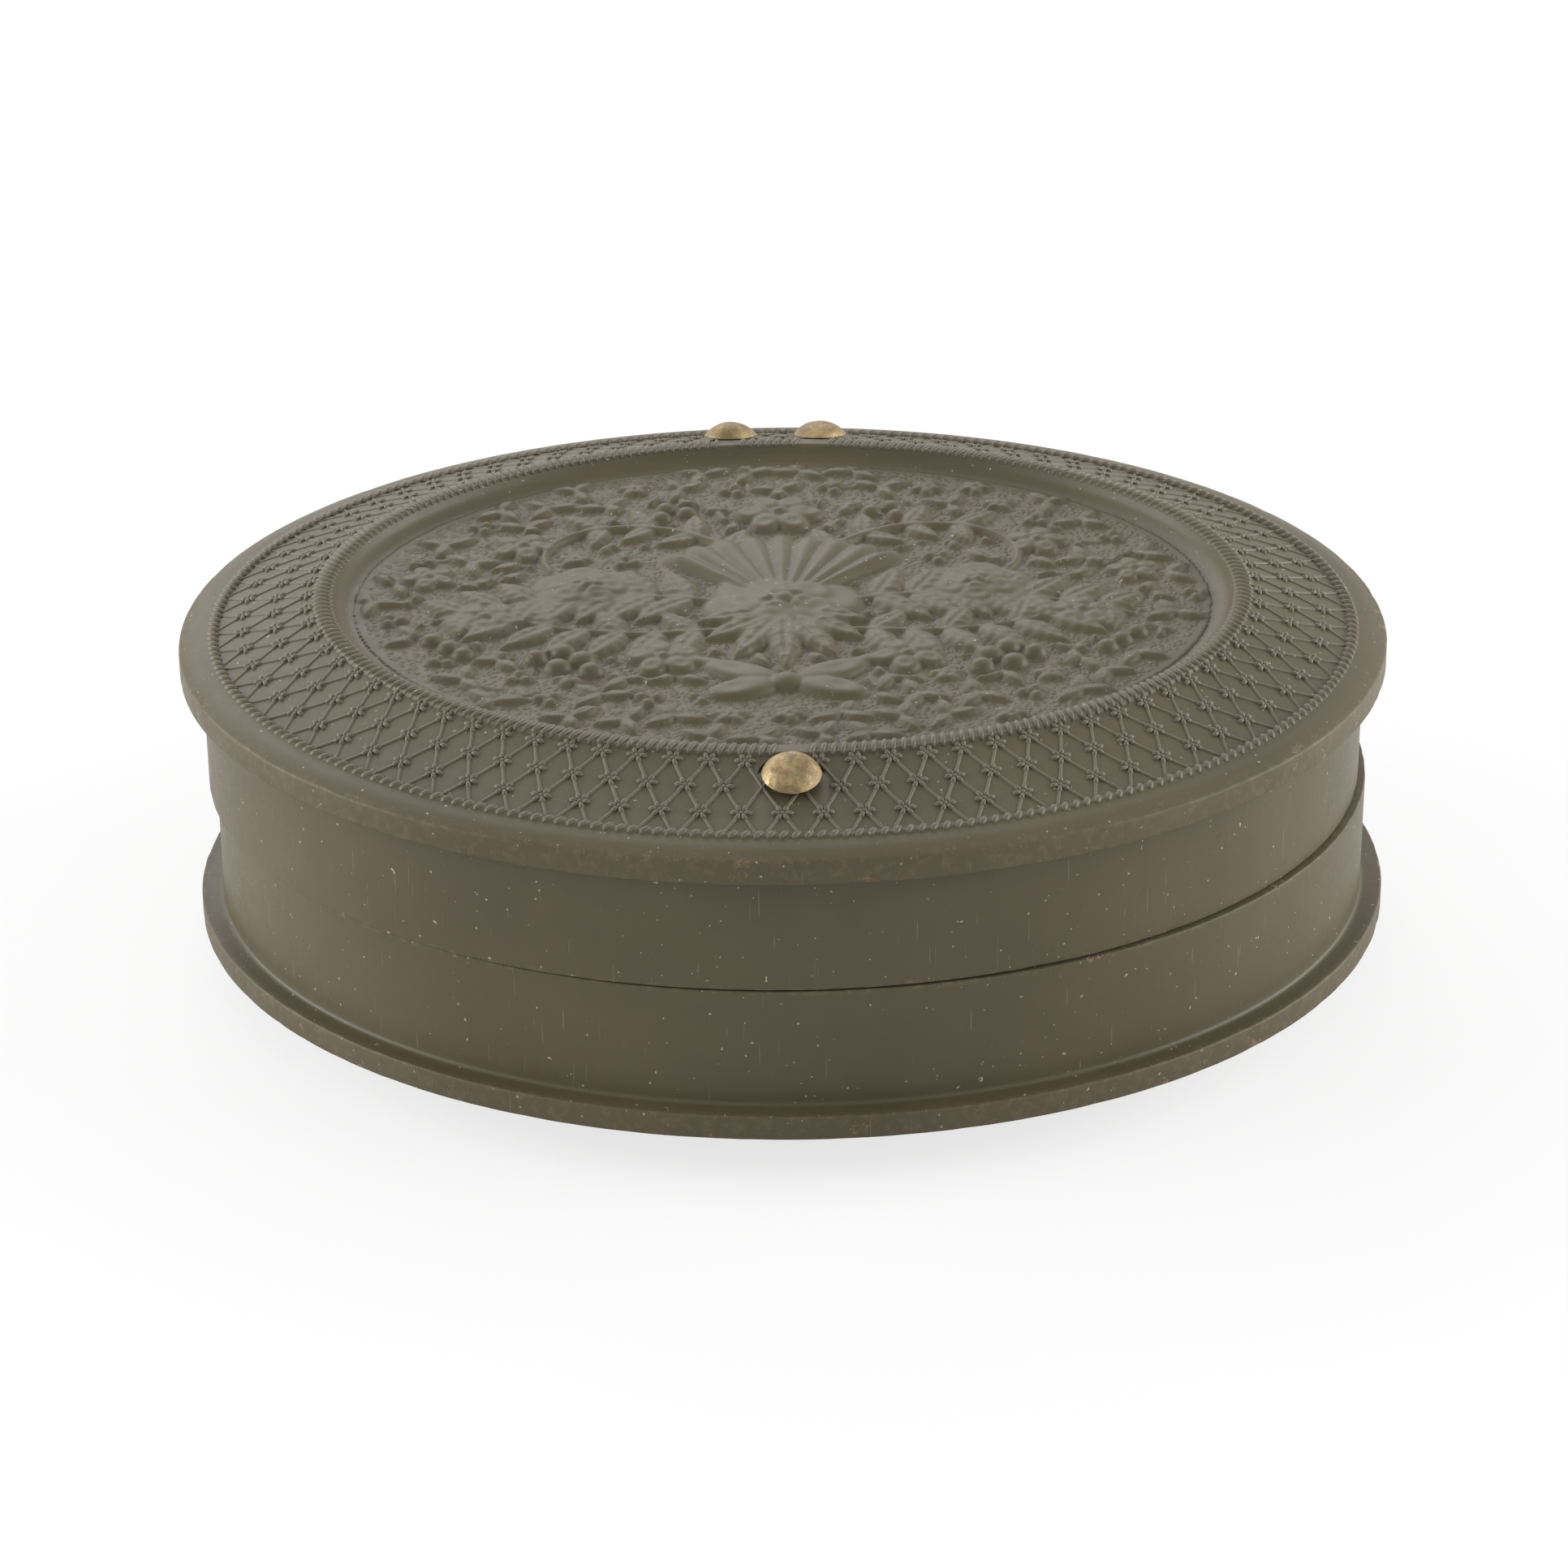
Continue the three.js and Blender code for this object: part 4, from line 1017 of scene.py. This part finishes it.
def rivet_mesh(name, low, rim, top, seed, lean):
    top = rim + (top - rim) * HEAD_SHARE
    rise = top - rim
    sphere = (RIVET_HEAD_RADIUS ** 2 + rise ** 2) / (2 * rise)
    sweep = asin(RIVET_HEAD_RADIUS / sphere)
    profile = [(0.02 * MM, top)]
    for step in range(1, 15):
        turn = sweep * step / 14
        profile.append((sphere * sin(turn), rim + rise - sphere + sphere * cos(turn)))
    profile += [(RIVET_HEAD_RADIUS - 0.05 * MM, rim - 0.06 * MM), (RIVET_SHANK_RADIUS, rim - 0.06 * MM),
                (RIVET_SHANK_RADIUS, low + 0.35 * MM), (RIVET_TAIL_RADIUS, low + 0.35 * MM),
                (RIVET_TAIL_RADIUS * 0.7, low), (0.02 * MM, low)]
    mesh = bpy.data.meshes.new(name)
    with editing(mesh) as builder:
        rings = []
        for radius, height in profile:
            ring = []
            for step in range(RIVET_STEPS):
                turn = 2 * pi * step / RIVET_STEPS
                spot = Vector((radius * cos(turn), radius * sin(turn), height))
                if height > rim - 0.07 * MM and radius > RIVET_SHANK_RADIUS or height > rim:
                    dent = noise.noise(spot * 500 + Vector((seed, 0, 0))) * 0.06 * MM
                    spot.z += dent * min(1.0, radius / (0.4 * MM)) * (height > rim)
                    spot.z += spot.y * sin(lean)
                ring.append(builder.verts.new(spot))
            rings.append(ring)
        for ring, below in zip(rings, rings[1:]):
            for step in range(RIVET_STEPS):
                side = (step + 1) % RIVET_STEPS
                builder.faces.new((ring[step], below[step], below[side], ring[side]))
        builder.faces.new(rings[0])
        builder.faces.new(rings[-1])
        bmesh.ops.recalc_face_normals(builder, faces=builder.faces)
    cover(mesh, rivet_brass)
    smooth(mesh, 50)
    return mesh


RIVET_RIM = RIVET_SEAT + 0.25 * MM
for seed, label in enumerate(("hinge_rivet_left", "hinge_rivet_right", "catch_rivet")):
    for body in ("lid", "base"):
        node = f"{body}_{label}"
        low, high = (Vector(corner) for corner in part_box(node))
        middle = (low + high) / 2
        place = Matrix.Translation((middle.x, middle.y, SEAM))
        inner, outer = low.z - SEAM, high.z - SEAM
        if body == "base":
            place = place @ TURNED_OVER
            inner, outer = -outer, -inner
        lean = RIVET_LEAN if middle.y < 0 else -RIVET_LEAN
        head = rivet_mesh(node, inner, RIVET_RIM, outer, seed * 7.3, lean)
        put(node + "_head", head, place, body, [node])

# Hinge and catch: thin rolled brass, tarnished. Each leaf has knuckles round a steel pin, a plate down the
# wall and a foot under the face. The catch is a springy tongue whose bead snaps in the keeper's window.
def sheet_brass(name, dark, light, roughness):
    tree = Finish(name)
    cloud = tree.patches(0.38, 0.66, 260.0, 6.0, 0.65)
    fine = tree.noise(2400.0, 3.0, 0.6)
    stretched = tree.stretched((0.06, 1.0, 1.0))
    drawn = tree.noise(4200.0, 2.0, 0.5, stretched)
    return tree.surface({
        "Base Color": tree.mix(cloud, dark, light), "Metallic": 1.0,
        "Roughness": fine * 0.2 + (1 - cloud) * 0.15 + roughness}, drawn * 0.3 + fine * 0.2, 0.02 * MM)


def dress(node, material):
    cover(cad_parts[node].data, material)


hinge_brass = sheet_brass("tarnished_sheet_brass", (0.22, 0.15, 0.06, 1), (0.5, 0.36, 0.15, 1), 0.28)
dull_steel = sheet_brass("dull_steel_wire", (0.16, 0.14, 0.12, 1), (0.3, 0.28, 0.26, 1), 0.35)
for node in ("hinge_leaf_base", "hinge_leaf_lid", "catch_keeper", "catch_tongue"):
    dress(node, hinge_brass)
dress("hinge_pin", dull_steel)

# Retaining strip: one strip of card covered with dark red short pile velvet. It springs round inside
# the base's wall, and its edge stands a little above the seam.
def velvet_finish():
    tree = Finish("dark_red_velvet")
    cloud = tree.noise(120.0, 4.0, 0.6)
    pile = tree.noise(5200.0, 2.0, 0.6)
    rubbed = tree.patches(0.55, 0.72, 300.0, 6.0, 0.7)
    colour = tree.mix(cloud, (0.055, 0.004, 0.008, 1), (0.10, 0.008, 0.014, 1))
    colour = tree.mix(rubbed * 0.35, colour, (0.16, 0.035, 0.03, 1))
    return tree.surface({
        "Base Color": colour, "Roughness": pile * 0.15 + 0.8, "Sheen Weight": 0.35, "Sheen Roughness": 0.4,
        "Sheen Tint": (0.6, 0.2, 0.2, 1), "Specular IOR Level": 0.15}, pile, 0.06 * MM)


velvet = velvet_finish()
dress("retaining_strip", velvet)

# Pad: the same velvet drawn over cotton on a board, and glued in the lid. Its face is plump and rolls
# over at the edge. It is ten times as large while its cloth simulation runs, like a common cushion.
PAD_LOW, PAD_HIGH = (Vector(corner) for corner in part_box("velvet_pad"))
PAD_CAP = 0.45 * MM
PAD_SCALE = 10.0
PAD_STEPS = 120
PAD_VOXEL = 0.8 * MM
PAD_BACK = 1.2 * MM
CLOTH_FRAMES = 20
CLOTH_PRESSURE = 4


def pad_mesh():
    length = (PAD_HIGH.x - PAD_LOW.x) / 2 - 0.35 * MM
    width = (PAD_HIGH.y - PAD_LOW.y) / 2 - 0.35 * MM
    face = PAD_LOW.z + 0.3 * MM
    back = PAD_HIGH.z - 0.05 * MM
    profile = [(1.0, back), (1.0, face + 2.2 * MM), (0.985, face + 1.35 * MM), (0.955, face + 0.75 * MM),
               (0.90, face + 0.38 * MM), (0.8, face + 0.16 * MM), (0.6, face + 0.04 * MM), (0.3, face)]
    vertices = []
    for share, height in profile:
        for step in range(PAD_STEPS):
            turn = 2 * pi * step / PAD_STEPS
            vertices.append((length * share * cos(turn), width * share * sin(turn), height))
    faces = []
    for row in range(len(profile) - 1):
        for step in range(PAD_STEPS):
            side = (step + 1) % PAD_STEPS
            first, below = row * PAD_STEPS, (row + 1) * PAD_STEPS
            faces.append((first + step, below + step, below + side, first + side))
    last = (len(profile) - 1) * PAD_STEPS
    faces.append(tuple(range(PAD_STEPS)))
    faces.append(tuple(last + PAD_STEPS - 1 - step for step in range(PAD_STEPS)))
    mesh = bpy.data.meshes.new("pad")
    mesh.from_pydata(vertices, [], faces)
    with editing(mesh, mesh) as builder:
        bmesh.ops.recalc_face_normals(builder, faces=builder.faces)
    return mesh


def plumped(mesh):
    mesh.transform(Matrix.Scale(PAD_SCALE, 4))
    piece = new_object("pad_blank", mesh)
    remesh = piece.modifiers.new("remesh", "REMESH")
    remesh.mode = "VOXEL"
    remesh.voxel_size = PAD_VOXEL * PAD_SCALE
    even = evaluated_mesh(piece)
    piece.modifiers.clear()
    piece.data = even
    start = places_of(even)
    held = piece.vertex_groups.new(name="held")
    back = start[:, 2].max()
    held.add(np.nonzero(start[:, 2] > back - PAD_BACK * PAD_SCALE)[0].tolist(), 1.0, "ADD")
    cloth = piece.modifiers.new("cloth", "CLOTH")
    cloth.settings.use_pressure = True
    cloth.settings.uniform_pressure_force = CLOTH_PRESSURE
    cloth.settings.effector_weights.gravity = 0
    cloth.settings.vertex_group_mass = "held"
    cloth.point_cache.frame_start = 1
    cloth.point_cache.frame_end = CLOTH_FRAMES
    for step in range(1, CLOTH_FRAMES + 1):
        bpy.context.scene.frame_set(step)
    plump = evaluated_mesh(piece)
    bpy.context.scene.frame_set(1)
    piece.modifiers.clear()
    move = places_of(plump) - start
    reach = np.linalg.norm(move, axis=1)
    cap = PAD_CAP * PAD_SCALE
    move *= (np.minimum(reach, cap) / np.maximum(reach, 1e-9))[:, None]
    start = start + move
    low = np.array(PAD_LOW) * PAD_SCALE
    start[:, 2] = np.maximum(start[:, 2], low[2])
    even.vertices.foreach_set("co", start.ravel())
    even.transform(Matrix.Scale(1 / PAD_SCALE, 4))
    bpy.data.objects.remove(piece)
    return even


pad = new_object("pad_cover", plumped(pad_mesh()))
pad_middle = (PAD_LOW + PAD_HIGH) / 2
pad.data.transform(Matrix.Translation((pad_middle.x, pad_middle.y, 0)))
cover(pad.data, velvet)
pad.data.shade_smooth()
rounder = pad.modifiers.new("rounder", "SUBSURF")
rounder.levels = rounder.render_levels = 1
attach(pad, "lid")
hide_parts("velvet_pad")

# Picture packet and linings: plate, mat and glass bound with paper tape in a folded brass preserver,
# on pasteboard and a paper label in the base, and the board and cotton inside the lid's pad.
def paper_finish(name, dark, light, grain_size):
    tree = Finish(name)
    cloud = tree.noise(90.0, 5.0, 0.6)
    fibre = tree.noise(grain_size, 5.0, 0.7)
    stain = tree.patches(0.6, 0.72, 240.0, 5.0, 0.7)
    colour = tree.mix(stain * 0.5, tree.mix(cloud, dark, light), dark)
    return tree.surface({
        "Base Color": colour, "Roughness": fibre * 0.1 + 0.82}, fibre, 0.04 * MM)


def mat_finish():
    tree = Finish("pebbled_mat_brass")
    pebble = tree.shade("TexVoronoi", {"Vector": tree.place, "Scale": 2600.0}, "Distance")
    cloud = tree.patches(0.4, 0.65, 200.0, 5.0, 0.6)
    return tree.surface({
        "Base Color": tree.mix(cloud, (0.45, 0.29, 0.09, 1), (0.7, 0.5, 0.2, 1)), "Metallic": 1.0,
        "Roughness": cloud * 0.1 + 0.3}, pebble, 0.03 * MM)


def plate_finish():
    tree = Finish("silvered_plate")
    tarnish = tree.patches(0.4, 0.75, 70.0, 6.0, 0.6)
    from_middle = tree.node("ShaderNodeVectorMath", {"operation": "LENGTH"}, {0: tree.place}, "Value")
    halo = tree.ramp(from_middle / (24 * MM) + tree.noise(130.0, 5.0, 0.6) * 0.35, 0.8, 1.1)
    colour = tree.mix(tarnish, (0.2, 0.203, 0.21, 1), (0.12, 0.11, 0.10, 1))
    colour = tree.mix(halo, colour, (0.05, 0.045, 0.07, 1))
    return tree.surface({
        "Base Color": colour, "Metallic": 1.0, "Roughness": tarnish * 0.2 + halo * 0.15 + 0.14})


def glass_finish():
    tree = Finish("cover_glass")
    wave = tree.noise(60.0, 2.0, 0.5)
    return tree.surface({
        "Base Color": (0.93, 0.97, 0.95, 1), "Roughness": 0.02, "IOR": 1.5, "Transmission Weight": 1.0},
        wave, 0.02 * MM)


rag_paper = paper_finish("aged_rag_paper", (0.36, 0.27, 0.15, 1), (0.55, 0.45, 0.3, 1), 1500.0)
pasteboard = paper_finish("pasteboard", (0.18, 0.12, 0.06, 1), (0.3, 0.21, 0.12, 1), 1100.0)
cotton = paper_finish("cotton_batting", (0.62, 0.56, 0.46, 1), (0.8, 0.76, 0.67, 1), 700.0)
mat_brass = mat_finish()
for node in ("label_paper", "binding_tape"):
    dress(node, rag_paper)
for node in ("packing_card", "pad_board"):
    dress(node, pasteboard)
for node in ("brass_mat", "preserver"):
    dress(node, mat_brass)
dress("pad_batting", cotton)
dress("picture_plate", plate_finish())
dress("cover_glass", glass_finish())
